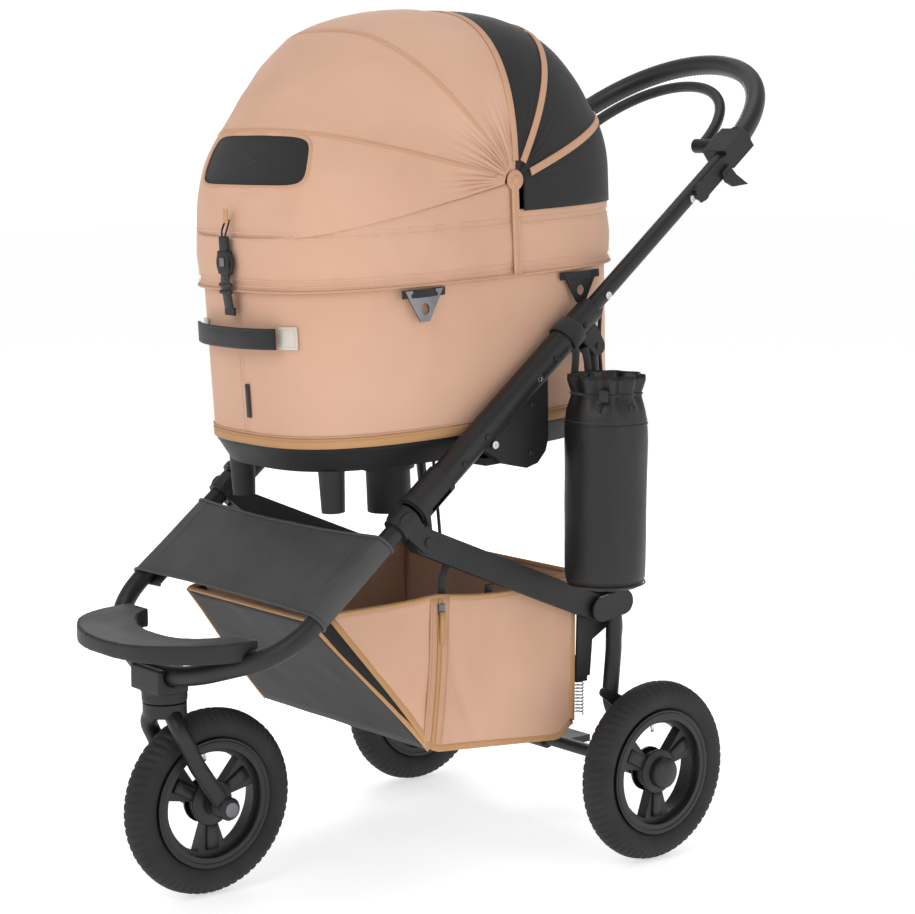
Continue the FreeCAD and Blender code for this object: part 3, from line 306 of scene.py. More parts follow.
def apply_all(obj):
    """Bake every modifier of a piece into its mesh."""
    graph = bpy.context.evaluated_depsgraph_get()
    done = bpy.data.meshes.new_from_object(obj.evaluated_get(graph), depsgraph=graph)
    obj.modifiers.clear()
    obj.data = done
    return obj


def grid(name, rows, mat, body, thick=0.0, subdiv=0, closed=False, flip=False, rim=None):
    """Sheet through rows of points, given a thickness inwards."""
    count = len(rows[0])
    verts = [p for row in rows for p in row]
    faces = []
    for i in range(len(rows) - 1):
        for j in range(count if closed else count - 1):
            k = (j + 1) % count
            quad = (i * count + j, i * count + k, (i + 1) * count + k, (i + 1) * count + j)
            faces.append(quad[::-1] if flip else quad)
    obj = make(name, verts, faces, mat, body)
    if thick:
        solid = obj.modifiers.new("thick", "SOLIDIFY")
        solid.thickness = thick
        solid.offset = -1.0
        if rim is not None:
            obj.data.materials.append(rim)
            solid.material_offset_rim = 1
    if subdiv:
        obj.modifiers.new("smooth", "SUBSURF").levels = subdiv
        obj.modifiers["smooth"].render_levels = subdiv
    if thick or subdiv:
        apply_all(obj)
    return obj


def frames_along(points, up=None, closed=False):
    """Tangent, side and normal at each point, carried without twisting."""
    out = []
    count = len(points)
    normal = None
    for i, p in enumerate(points):
        ahead = points[(i + 1) % count] if closed or i < count - 1 else p
        behind = points[i - 1] if closed or i > 0 else p
        tangent = (ahead - behind).normalized()
        if up is not None:
            guide = up[i] if isinstance(up, list) else up
        else:
            upright = Vector((0, 0, 1)) if abs(tangent.z) < 0.9 else Vector((1, 0, 0))
            guide = upright if normal is None else normal
        normal = (guide - tangent * guide.dot(tangent)).normalized()
        out.append((tangent, tangent.cross(normal), normal))
    return out


def sweep(name, points, mat, body, profile, up=None, closed=False, caps=True, scale=None,
    smooth=True):
    """Carry a closed (side, normal) outline along a line of points."""
    fr = frames_along(points, up, closed)
    verts, faces = [], []
    m = len(profile)
    for i, (p, (t, side, n)) in enumerate(zip(points, fr)):
        k = scale(i / (len(points) - 1)) if scale else 1.0
        for a, b in profile:
            verts.append(p + side * a * k + n * b * k)
    rings = len(points)
    for i in range(rings if closed else rings - 1):
        for j in range(m):
            faces.append((i * m + j, i * m + (j + 1) % m, ((i + 1) % rings) * m + (j + 1) % m,
                ((i + 1) % rings) * m + j))
    if caps and not closed:
        faces.append(tuple(range(m))[::-1])
        faces.append(tuple((rings - 1) * m + j for j in range(m)))
    obj = make(name, verts, faces, mat, body, smooth)
    return obj


def circle(r, count=10, flat=1.0):
    return [(r * math.cos(2 * math.pi * i / count),
        r * flat * math.sin(2 * math.pi * i / count)) for i in range(count)]


def band(width, thick, round_by=0.35):
    """Flat strip outline with soft edges, standing on its base line."""
    w, t = width / 2, thick
    r = t * round_by
    return [(-w, 0), (w, 0), (w, t - r), (w - r, t), (-w + r, t), (-w, t - r)]


def lathe(name, profile, centre, mat, body, steps=48, axis="X", side=1, warp=None):
    """Turn a (radius, along) outline about an axis through centre."""
    verts, faces = [], []
    for i in range(steps):
        a = 2 * math.pi * i / steps
        for k, (r, h) in enumerate(profile):
            rr = r if warp is None else r * warp(a, h)
            if axis == "X":
                verts.append(centre + Vector((side * h, rr * math.cos(a), rr * math.sin(a))))
            else:
                verts.append(centre + Vector((rr * math.cos(a), rr * math.sin(a), h)))
    m = len(profile)
    for i in range(steps):
        j = (i + 1) % steps
        for k in range(m - 1):
            faces.append((i * m + k, j * m + k, j * m + k + 1, i * m + k + 1))
    obj = make(name, verts, faces, mat, body)
    tidy(obj)
    return obj


def tidy(obj):
    work = bmesh.new()
    work.from_mesh(obj.data)
    bmesh.ops.remove_doubles(work, verts=work.verts, dist=1e-6)
    bmesh.ops.recalc_face_normals(work, faces=work.faces)
    work.to_mesh(obj.data)
    work.free()
    return obj


def block(name, size, centre, axes, mat, body, bevel=0.001, segments=3):
    """Rounded box on three axes."""
    work = bmesh.new()
    bmesh.ops.create_cube(work, size=1.0)
    for v in work.verts:
        v.co = Vector((v.co.x * size[0], v.co.y * size[1], v.co.z * size[2]))
    bmesh.ops.bevel(work, geom=list(work.edges), offset=bevel, segments=segments, profile=0.6, affect="EDGES")
    turn = Matrix((axes[0], axes[1], axes[2])).transposed()
    for v in work.verts:
        v.co = turn @ v.co + centre + Vector((CX, 0, 0))
    mesh = bpy.data.meshes.new(name)
    work.to_mesh(mesh)
    work.free()
    mesh.materials.append(mat)
    for poly in mesh.polygons:
        poly.use_smooth = True
    obj = bpy.data.objects.new(name, mesh)
    bpy.context.scene.collection.objects.link(obj)
    tidy(obj)
    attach(obj, body)
    return obj


def resample(points, spacing, closed=False):
    line = points + [points[0]] if closed else points
    lengths = [0.0]
    for a, b in zip(line, line[1:]):
        lengths.append(lengths[-1] + (b - a).length)
    count = max(2, int(round(lengths[-1] / spacing)))
    out, k = [], 0
    for i in range(count if closed else count + 1):
        d = lengths[-1] * i / count
        while k < len(lengths) - 2 and lengths[k + 1] < d:
            k += 1
        span = lengths[k + 1] - lengths[k]
        out.append(line[k].lerp(line[k + 1], (d - lengths[k]) / span if span > 1e-9 else 0.0))
    return out


def stitches(name, points, normals, mat, body, closed=False, length=0.0030, gap=0.0016, radius=0.00045):
    """Row of short raised threads along a line on a surface."""
    step = length + gap
    places = resample(points, step, closed)
    verts, faces = [], []
    for i in range(len(places) - 1):
        a = places[i]
        run = (places[i + 1] - a)
        if run.length < 1e-6:
            continue
        t = run.normalized()
        n = normals(a) if callable(normals) else normals
        n = (n - t * n.dot(t)).normalized()
        s = t.cross(n)
        b = a + t * length
        base = len(verts)
        for p, k in ((a, 0.3), (a.lerp(b, 0.25), 1.0), (a.lerp(b, 0.75), 1.0), (b, 0.3)):
            for q, h in ((-1, 0.0), (-0.6, 0.8), (0.6, 0.8), (1, 0.0)):
                verts.append(p + s * (q * radius) + n * (h * radius * k))
        for r in range(3):
            for c in range(3):
                o = base + r * 4 + c
                faces.append((o, o + 1, o + 5, o + 4))
    return make(name, verts, faces, mat, body)


def side_name(side):
    return "left" if side > 0 else "right"


def power(value, p):
    return math.copysign(abs(value) ** p, value)


def smooth(x, a, b):
    t = min(1.0, max(0.0, (x - a) / (b - a)))
    return t * t * (3 - 2 * t)


def wobble(p, scale, seed=0.0):
    return noise.noise(Vector((p.x * scale + seed, p.y * scale - seed, p.z * scale + 2 * seed)))


# ---- camera, light and floor -------------------------------------------------------
camera_data = bpy.data.cameras.new("view_camera")
camera_data.sensor_width = 36.0
camera_data.lens = 90.49
camera_data.clip_end = 50.0
camera = bpy.data.objects.new("view_camera", camera_data)
camera.location = frame_p(2.424 + CX, -2.123, 0.961)
camera.rotation_euler = (math.radians(90 - 7.7814), 0.0, math.radians(50.5651))
bpy.context.scene.collection.objects.link(camera)
bpy.context.scene.camera = camera

floor_look, tree, shader = base_material("pale_floor", 0.9)
shader.inputs["Base Color"].default_value = (0.93, 0.93, 0.92, 1.0)
shader.inputs["Emission Color"].default_value = (1.0, 1.0, 1.0, 1.0)
shader.inputs["Emission Strength"].default_value = 0.55
bpy.ops.mesh.primitive_plane_add(size=40.0, location=(0, 0, -0.0006))
floor = bpy.context.object
floor.name = "studio_floor"
floor.data.materials.append(floor_look)

world = bpy.data.worlds.new("studio")
bpy.context.scene.world = world
world.use_nodes = True
world.node_tree.nodes["Background"].inputs["Color"].default_value = (0.97, 0.98, 1.0, 1.0)
sky = world.node_tree
direction = node(sky, "ShaderNodeTexCoord")
parts = node(sky, "ShaderNodeSeparateXYZ")
glow = node(sky, "ShaderNodeMapRange")
for key, value in (("From Min", 0.10), ("From Max", 0.40), ("To Min", 1.10), ("To Max", 0.42)):
    glow.inputs[key].default_value = value
sky.links.new(direction.outputs["Generated"], parts.inputs["Vector"])
sky.links.new(parts.outputs["Z"], glow.inputs["Value"])
sky.links.new(glow.outputs["Result"], sky.nodes["Background"].inputs["Strength"])
bpy.context.scene.view_settings.view_transform = "Standard"


def area_light(name, place, aim, size, watts, tint=(1, 1, 1)):
    data = bpy.data.lights.new(name, "AREA")
    data.energy = watts
    data.size = size
    data.color = tint
    lamp = bpy.data.objects.new(name, data)
    lamp.location = place
    lamp.rotation_euler = (Vector(aim) - Vector(place)).to_track_quat("-Z", "Y").to_euler()
    bpy.context.scene.collection.objects.link(lamp)


area_light("key_light", (1.0, -3.4, 2.9), (0, -0.1, 0.6), 2.0, 40, (1.0, 0.985, 0.96))
area_light("fill_light", (3.6, 0.4, 1.7), (0, 0, 0.6), 2.4, 18)
area_light("top_light", (-0.4, 0.3, 3.6), (0, 0, 0.6), 2.6, 26)
area_light("rim_light", (-2.6, 2.2, 1.9), (0, 0, 0.7), 1.6, 26)


# ---- cot body ----------------------------------------------------------------------
def oval_point(a, b, turn, p=3.0):
    return (a * power(math.cos(turn), 2 / p), b * power(math.sin(turn), 2 / p))


def outline(a, b, count=160, p=3.0):
    """Evenly spaced (x, y, turn) points round a superellipse, from the rear anticlockwise."""
    raw = [oval_point(a, b, 2 * math.pi * i / 720, p) for i in range(720)]
    pts = resample([Vector((x, y, 0)) for x, y in raw], 0.01, closed=True)
    pts = resample(pts, sum((pts[i] - pts[i - 1]).length for i in range(len(pts))) / count, closed=True)
    return pts[:count]


BASE_A, BASE_B, TOP_A, TOP_B, WALL_H = 0.174, 0.275, 0.1795, 0.279, 0.262
RING = outline(1.0, TOP_B / TOP_A, 180)


def bulge(share):
    """Height of the cot's rounded oval, from 1 in the middle to 0 at its end."""
    return (1 - min(1.0, abs(share)) ** 3) ** (1 / 3)


def wall_halves(z, out):
    """Half width and half length of the cot's wall at height z."""
    k = z / WALL_H
    return BASE_A + (TOP_A - BASE_A) * k + out, BASE_B + (TOP_B - BASE_B) * k + out


def wall_p(unit, z, out=0.0):
    """Point on the cot's wall; unit is a point of RING."""
    a, b = wall_halves(z, out)
    return Vector((unit.x * a, unit.y * TOP_A / TOP_B * b, z))


def front_at(x, z, out=0.0):
    a, b = wall_halves(z, out)
    return Vector((x, -b * bulge(x / a), z))


def wall_normal(p):
    n = Vector((power(p.x / TOP_A, 2), power(p.y / TOP_B, 2) * TOP_A / TOP_B, 0))
    return n.normalized() if n.length > 1e-6 else Vector((0, -1, 0))


def to_world(points):
    return [cot_p(p.x, p.y, p.z) for p in points]


def world_normal(n):
    return cot_dir(n.x, n.y, n.z)


def cot_local(p):
    """World point back into the cot's frame."""
    y, z = p.y - (AX - COT_BACK), p.z - COT_Z
    return Vector((p.x, y * CR + z * SR, -y * SR + z * CR))


rows = []
for i in range(25):
    z = WALL_H * i / 24
    row = []
    for unit in RING:
        p = wall_p(unit, z)
        n = wall_normal(p)
        inner = smooth(z, 0.0, 0.05) * (1 - smooth(z, 0.18, 0.22))
        dent = 0.0016 * wobble(Vector((p.x, p.y, p.z * 0.6)), 11.0, 3.1) * inner
        seam = -0.0010 * math.exp(-(p.x / 0.003) ** 2) if p.y < 0 else 0.0
        row.append(p + n * (dent - 0.0004 + seam))
    rows.append(to_world(row))
wall = grid("cot_fabric_wall", rows, PEACH, "cot", thick=0.0025, closed=True)
tidy(wall)
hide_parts("cot_wall")

# binding and piping round the base
for label, z, w, t, look in (("binding", 0.0065, 0.013, 0.0012, TAN),
    ("piping", 0.0150, 0.0022, 0.0014, PEACH_TRIM)):
    line = [wall_p(u, z, 0.0002) for u in RING]
    sweep("cot_base_" + label, to_world(line), look, "cot", band(w, t, 0.6),
          up=[world_normal(wall_normal(p)) for p in line], closed=True)
line = [wall_p(u, 0.0098, 0.0015) for u in RING]
stitches("cot_base_stitches", to_world(line), lambda p: world_normal(wall_normal(cot_local(p))), TAN_STITCH,
    "cot", closed=True)
# lower edge of the tray: thin moulded lip
line = [Vector((u.x * (BASE_A - 0.004), u.y * TOP_A / TOP_B * (BASE_B - 0.004), -0.0035)) for u in RING]
sweep("tray_lip", to_world(line), PLASTIC, "cot", circle(0.0022, 8), up=world_normal(Vector((0, 0, 1))),
    closed=True)


# ---- skirt -------------------------------------------------------------------------
SK_A, SK_B = 0.1845, 0.2840
SK_RING = outline(1.0, SK_B / SK_A, 200)
SLOPE = math.tan(math.radians(9.6))


def skirt_p(unit, z, out=0.0):
    return Vector((unit.x * (SK_A + out), unit.y * (SK_A + out), z))


def skirt_top(y):
    if y < HINGE_Y:
        return HINGE_Z - 0.0015 - SLOPE * (HINGE_Y - y)
    return 0.281 + (HINGE_Z - 0.0015 - 0.281) * (1 - smooth(y, HINGE_Y, HINGE_Y + 0.006))


rows = []
levels = 26
for i in range(levels):
    row = []
    for unit in SK_RING:
        y = unit.y * SK_A
        low, high = SKIRT_LOW, skirt_top(y)
        z = low + (high - low) * i / (levels - 1)
        p = skirt_p(unit, z)
        n = wall_normal(p)
        pucker = 0.0008 * math.sin(y * 900 + p.x * 700) * math.exp(-((z - 0.266) / 0.006) ** 2)
        roll = (-0.0022 * math.exp(-((z - 0.207) / 0.0035) ** 2)
                - 0.0016 * math.exp(-((z - 0.2665) / 0.003) ** 2))
        belly = 0.0016 * math.sin(math.pi * smooth(z, 0.207, 0.266))
        wave = 0.0018 * wobble(p, 16.0, 7.7)
        row.append(p + n * (roll + belly + pucker + wave * 0.8 - 0.0012))
    rows.append(to_world(row))
skirt = grid("canopy_skirt_cloth", rows, PEACH, "cot", thick=0.0022, closed=True)
tidy(skirt)
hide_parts("canopy_skirt")


def skirt_line(z, out, y_from=-1.0, y_to=1.0):
    pts = [skirt_p(u, z, out) for u in SK_RING]
    return [p for p in pts if y_from <= p.y <= y_to]


def skirt_normal(p):
    return world_normal(wall_normal(cot_local(p)))


for label, z in (("hem", 0.2002), ("band_low", 0.2035), ("band_high", 0.2112), ("waist_low", 0.2625),
    ("waist_high", 0.2700)):
    stitches("skirt_stitch_" + label, to_world(skirt_line(z, -0.0008 if "waist" in label else -0.0002)),
        skirt_normal,
             STITCH, "cot", closed=True)
line = skirt_line(0.1975, 0.0)
sweep("skirt_hem_roll", to_world(line), PEACH_TRIM, "cot", circle(0.0018, 8),
    up=[world_normal(wall_normal(p)) for p in line],
      closed=True)


# ---- canopy ------------------------------------------------------------------------
REACH = [(-9.5, 0.315), (15.5, 0.284), (51.0, 0.253), (90.0, 0.216), (130.0, 0.232), (160.5, 0.238),
    (190.0, 0.247)]


def reach(deg):
    for (d0, r0), (d1, r1) in zip(REACH, REACH[1:]):
        if deg <= d1:
            return r0 + (r1 - r0) * (deg - d0) / (d1 - d0)
    return REACH[-1][1]


def skirt_half(y):
    return SK_A * bulge(y / SK_B)


def dome(deg, t, out=0.0):
    """Point on the canopy: deg about the pivots from the front, t across from left to right."""
    phi = math.radians(deg)
    rho = reach(deg)
    x = HALF * power(math.cos(t), 2 / POWER)
    q = rho * abs(math.sin(t)) ** (2 / POWER)
    y, z = HINGE_Y - q * math.cos(phi), HINGE_Z + q * math.sin(phi)
    low = (1 - smooth(deg, -9.5, 22.0)) if deg < 90 else smooth(deg, 150.0, 182.0)
    if low > 0 and abs(y) < SK_B:
        x += (math.copysign(skirt_half(y) - 0.0006, x) - x) * low * smooth(abs(x), 0.02, 0.13)
    p = Vector((x, y, z))
    if out:
        p += dome_normal(deg, t) * out
    return p


def dome_normal(deg, t):
    e = 0.02
    a = dome(deg, max(0.03, t - e)) - dome(deg, min(math.pi - 0.03, t + e))
    b = dome(deg + 1.2, t) - dome(deg - 1.2, t)
    n = a.cross(b)
    centre = Vector((0, 0.0, HINGE_Z - 0.05))
    if n.length < 1e-9:
        return Vector((math.copysign(1, math.cos(t)), 0, 0))
    n.normalize()
    return n if n.dot(dome(deg, t) - centre) > 0 else -n


def t_steps(count, first=0.02):
    """Across positions, closer together near the pivots."""
    out = []
    for i in range(count + 1):
        u = i / count
        s = u - 0.10 * math.sin(2 * math.pi * u)
        out.append(first + (math.pi - 2 * first) * s)
    return out


WIN_T0, WIN_T1, WIN_D0, WIN_D1 = 1.13, math.pi - 1.24, 1.4, 14.6


def in_window(deg, t, grow=0.0):
    """1 inside the front window's rounded outline, falling to 0 just outside it."""
    u = abs(t - (WIN_T0 + WIN_T1) / 2) / ((WIN_T1 - WIN_T0) / 2)
    v = abs(deg - (WIN_D0 + WIN_D1) / 2) / ((WIN_D1 - WIN_D0) / 2)
    return 1 - smooth((u ** (2 / 0.28) + v ** (2 / 0.5)), 0.80 + grow, 1.05 + grow)


def panel(name, deg0, deg1, body, mat, rows_n, cols=110, sag=0.0, wrinkle=0.0, extra_low=None,
          window=False):
    rows = []
    for i in range(rows_n + 1):
        share = i / rows_n
        deg = deg0 + (deg1 - deg0) * share
        row = []
        for t in t_steps(cols):
            p = dome(deg, t)
            n = dome_normal(deg, t)
            q = (Vector((0, p.y - HINGE_Y, p.z - HINGE_Z))).length
            dip = -sag * math.sin(math.pi * share) * smooth(q, 0.03, 0.2)
            ripple = math.sin(deg * 1.15 + 1.3 * math.sin(deg * 0.31))
            fan = wrinkle * ripple * math.exp(-((q - 0.05) / 0.045) ** 2)
            cloud = wrinkle * 1.1 * wobble(p, 13.0, 1.7) + wrinkle * 0.45 * wobble(p, 34.0, 5.2)
            edge = math.sin(math.pi * share) ** 0.5 if 0 < share < 1 else 0.0
            move = dip + (fan + cloud) * edge * smooth(q, 0.005, 0.03)
            if window:
                calm = in_window(deg, t, 1.6)
                move = move * (1 - calm) - 0.0045 * in_window(deg, t)
            row.append(p + n * move)
        rows.append(to_world(row))
    if extra_low:
        for z in extra_low:
            rows.append([cot_p(p.x, p.y, z) for p in map(cot_local, rows[rows_n])])
    obj = grid(name, rows, mat, body, thick=0.0016)
    tidy(obj)
    return obj


def arc_line(deg, out, count=120, first=0.05):
    return [dome(deg, t, out) for t in t_steps(count, first)]


def arc_band(name, deg, width, thick, mat, body, out=0.0, first=0.05):
    pts = [dome(deg, t, out) for t in t_steps(120, first)]
    ups = [world_normal(dome_normal(deg, t)) for t in t_steps(120, first)]
    return sweep(name, to_world(pts), mat, body, band(width, thick, 0.6), up=ups)


def arc_stitch(name, deg, body, mat=STITCH, out=0.0009, offset=0.0):
    pts = []
    for t in t_steps(160, 0.12):
        rho = max(0.03, (dome(deg, t) - Vector((dome(deg, t).x, HINGE_Y, HINGE_Z))).length)
        pts.append(dome(deg + math.degrees(offset / rho), t, out))
    return stitches(name, to_world(pts), lambda p: (p - cot_p(0, 0, 0.27)).normalized(), mat, body)


def strip_area(deg0, deg1, low=0.0):
    """Flat area of the cloth between two angles, from its own lines."""
    total, steps = 0.0, 8
    ts = t_steps(60)
    for i in range(steps):
        a, b = deg0 + (deg1 - deg0) * i / steps, deg0 + (deg1 - deg0) * (i + 1) / steps
        la, lb = [dome(a, t) for t in ts], [dome(b, t) for t in ts]
        for j in range(len(ts) - 1):
            near = (la[j + 1] - la[j]).cross(lb[j] - la[j]).length
            far = (lb[j + 1] - lb[j]).cross(lb[j + 1] - la[j + 1]).length
            total += 0.5 * (near + far)
    if low:
        edge = [dome(deg1, t) for t in ts]
        total += low * sum((b - a).length for a, b in zip(edge, edge[1:]))
    return total


def arc_length(deg):
    line = arc_line(deg, 0.0, 80)
    return sum((b - a).length for a, b in zip(line, line[1:]))


def canopy_sheet(deg0, deg1, low=0.0):
    length = max(arc_length(deg0), arc_length(deg1), arc_length((deg0 + deg1) / 2))
    strip_area(deg0, deg1, low)


front = panel("canopy_front_cloth", -10.6, 15.5, "canopy_front_section", PEACH, 60, cols=200, wrinkle=0.0018,
    window=True)
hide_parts("canopy_front", "front_hoop")
canopy_sheet(-10.6, 15.5)
mid = panel("canopy_mid_cloth", 15.5, 51.0, None, PEACH, 22, sag=0.0035, wrinkle=0.0026)
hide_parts("canopy_mid")
top = panel("canopy_top_cloth", 51.0, 90.0, None, PEACH, 22, sag=0.0025, wrinkle=0.0024)
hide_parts("canopy_top")
rear = panel("canopy_rear_mesh", 90.0, 180.0, "cot", MESH, 40, sag=0.0, wrinkle=0.0013,
             extra_low=[0.310, 0.300, 0.290, 0.279])
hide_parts("canopy_rear")
canopy_sheet(90.0, 180.0, low=0.04)

# seams between the panels: flat-felled, twice stitched
seam_specs = (("seam_low", 15.3, 0.0062, "canopy_front_section", 0.0026),
              ("seam_mid", 51.0, 0.0062, "canopy_mid_section", 0.0026))
for label, deg, width, body, apart in seam_specs:
    arc_band("canopy_" + label, deg, width, 0.0015, PEACH_TRIM, body, out=0.0008)
    arc_stitch("canopy_" + label + "_a", deg, body, out=0.0017, offset=apart * 0.7)
    arc_stitch("canopy_" + label + "_b", deg, body, out=0.0017, offset=-apart * 0.7)
for label, deg, width in (("edge", 90.6, 0.0100), ("rib_front", 120.0, 0.0105), ("rib_rear", 160.5, 0.0105)):
    arc_band("canopy_" + label, deg, width, 0.0018, PEACH_TRIM, "cot", out=0.0020)
    arc_stitch("canopy_" + label + "_a", deg, "cot", out=0.0030, offset=width * 0.36)
    arc_stitch("canopy_" + label + "_b", deg, "cot", out=0.0030, offset=-width * 0.36)
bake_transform(mid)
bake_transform(top)
canopy_sheet(15.5, 51.0)
canopy_sheet(51.0, 90.0)

# mesh window in the front panel, with a turned edge
def window_p(u, v, out):
    """u, v from -1 to 1 on a rounded rectangle."""
    t = (WIN_T0 + WIN_T1) / 2 + u * (WIN_T1 - WIN_T0) / 2
    deg = (WIN_D0 + WIN_D1) / 2 + v * (WIN_D1 - WIN_D0) / 2
    return dome(deg, t, out)


def round_rect(k, count=72, corner=0.0):
    out = []
    for i in range(count):
        a = 2 * math.pi * i / count
        out.append((power(math.cos(a), 0.28) * k, power(math.sin(a), 0.5) * k))
    return out


rows = [to_world([window_p(u, v, 0.0002 - 0.0016 * (1 - k) ** 0.5) for u, v in round_rect(k)])
        for k in (1.0, 0.96, 0.85, 0.7, 0.5, 0.25, 0.02)]
window = grid("front_window_mesh", rows, MESH, "canopy_front_section", closed=True)
tidy(window)
rim_line = resample(to_world([window_p(u, v, 0.0008) for u, v in round_rect(1.01)]), 0.004, closed=True)
sweep("front_window_edge", rim_line, PEACH_TRIM, "canopy_front_section", band(0.0052, 0.0014, 0.6),
      up=[(p - cot_p(0, HINGE_Y, HINGE_Z)).normalized() for p in rim_line], closed=True)
stitch_line = to_world([window_p(u, v, 0.0008) for u, v in round_rect(1.075)])
stitches("front_window_stitches", stitch_line, lambda p: (p - cot_p(0, HINGE_Y, HINGE_Z)).normalized(),
    STITCH,
         "canopy_front_section", closed=True)

# upright zip strips on both sides, under the pivots
for side, tag in ((1, "left"), (-1, "right")):
    line = [Vector((side * (skirt_half(0.032) + 0.0012), 0.032, z)) for z in (0.199, 0.215, 0.235, 0.255,
        0.275, 0.292, 0.308, 0.324)]
    sweep("side_strip_" + tag, to_world(line), PEACH_TRIM, "cot", band(0.012, 0.0018, 0.5),
        up=cot_dir(side, 0, 0))
    for dy in (-0.0045, 0.0045):
        pts = [p + Vector((side * 0.0018, dy, 0)) for p in line]
        stitches("side_strip_stitch_%s_%d" % (tag, 1 if dy > 0 else 0), to_world(pts), cot_dir(side, 0, 0),
            STITCH, "cot")
    patch = [(0.0, 0.0020), (0.0100, 0.0018), (0.0128, 0.0010), (0.0134, -0.0006)]
    lathe("pivot_patch_" + tag, patch, cot_p(side * 0.1858, HINGE_Y - 0.001, HINGE_Z), PEACH_TRIM, "cot",
        side=side, steps=40)
    button = [(0.0, 0.0040), (0.003, 0.0038), (0.0050, 0.0028), (0.0064, 0.0010), (0.0068, 0.0)]
    lathe("pivot_cover_" + tag, button, cot_p(side * 0.1872, HINGE_Y - 0.001, HINGE_Z), PEACH_TRIM, "cot",
        side=side, steps=32)

# ---- cot front: slit seam, cord loop, buckle, webbing and grab strap ---------------
def front_pt(x, z, out=0.0):
    if z > SKIRT_LOW:
        return Vector((x, -SK_B * bulge(x / SK_A) - out, z))
    return front_at(x, z, out)


front_n = cot_dir(0, -1, 0)
seam = [front_pt(0.0, z, 0.0004) for z in [0.015 + 0.01 * i for i in range(11)]]
for tag, dx in (("left", 0.0035), ("right", -0.0035)):
    stitches("front_seam_" + tag, to_world([p + Vector((dx, 0, 0)) for p in seam]), front_n, STITCH, "cot")
X3, Y3, Z3 = Vector((1, 0, 0)), cot_dir(0, 1, 0), cot_dir(0, 0, 1)
tag_line = [front_pt(0.012, z, 0.001) for z in (0.035, 0.05, 0.065, 0.078)]
sweep("blank_tag", to_world(tag_line), BLACK_WEB, "cot", band(0.009, 0.0009, 0.5), up=front_n)
block("pull_tab", (0.010, 0.0020, 0.018), cot_p(0.0, -SK_B - 0.0040, 0.291), (X3, Y3, Z3), TAN, "cot", 0.0008)
cord_pts = [Vector((0.004, -SK_B - 0.0015, 0.286)), Vector((0.0055, -SK_B - 0.008, 0.272)),
    Vector((0.001, -SK_B - 0.010, 0.2615)),
            Vector((-0.0045, -SK_B - 0.008, 0.272)), Vector((-0.004, -SK_B - 0.0015, 0.286))]


def smooth_line(points, count):
    out = []
    n = len(points)
    for i in range(count + 1):
        f = i / count * (n - 1)
        k = min(int(f), n - 2)
        u = f - k
        p0, p1 = points[max(k - 1, 0)], points[k]
        p2, p3 = points[k + 1], points[min(k + 2, n - 1)]
        bend = (2 * p0 - 5 * p1 + 4 * p2 - p3) * u * u
        twist = (3 * p1 - p0 - 3 * p2 + p3) * u ** 3
        out.append(0.5 * ((2 * p1) + (p2 - p0) * u + bend + twist))
    return out


sweep("buckle_loop", to_world(smooth_line(cord_pts, 40)), BLACK_WEB, "cot", circle(0.0013, 8))
body_y = -SK_B - 0.0085
block("buckle_hook", (0.017, 0.0060, 0.020), cot_p(0, body_y, 0.2560), (X3, Y3, Z3), PLASTIC, "cot", 0.0022)
block("buckle_body", (0.025, 0.0085, 0.030), cot_p(0, body_y, 0.2330), (X3, Y3, Z3), PLASTIC, "cot", 0.0030)
for side in (1, -1):
    sweep("buckle_arm_%s" % side_name(side),
          to_world(smooth_line([Vector((side * 0.011, body_y, 0.246)), Vector((side * 0.0155, body_y, 0.236)),
                                Vector((side * 0.0150, body_y, 0.226)),
                                Vector((side * 0.010, body_y, 0.219))], 14)),
          PLASTIC, "cot", circle(0.0024, 8))
block("buckle_button", (0.009, 0.0020, 0.011), cot_p(0, body_y - 0.0048, 0.234), (X3, Y3, Z3), SATIN, "cot",
    0.0009)
tail = [Vector((0, body_y + 0.001, 0.222)), Vector((0, body_y - 0.0010, 0.207)),
    Vector((0, body_y + 0.001, 0.192)), Vector((0, body_y + 0.003, 0.178)),
        Vector((0, body_y + 0.0055, 0.168))]
sweep("buckle_webbing", to_world(smooth_line(tail, 20)), BLACK_WEB, "cot", band(0.019, 0.0016, 0.4),
    up=front_n)
for z in (0.205, 0.1960):
    block("triglide_%d" % round(z * 1000), (0.026, 0.0042, 0.0048), cot_p(0, body_y - 0.0010, z),
        (X3, Y3, Z3), PLASTIC, "cot", 0.0014)
block("webbing_end", (0.021, 0.0040, 0.010), cot_p(0, body_y + 0.0040, 0.171), (X3, Y3, Z3), PLASTIC, "cot",
    0.0014)

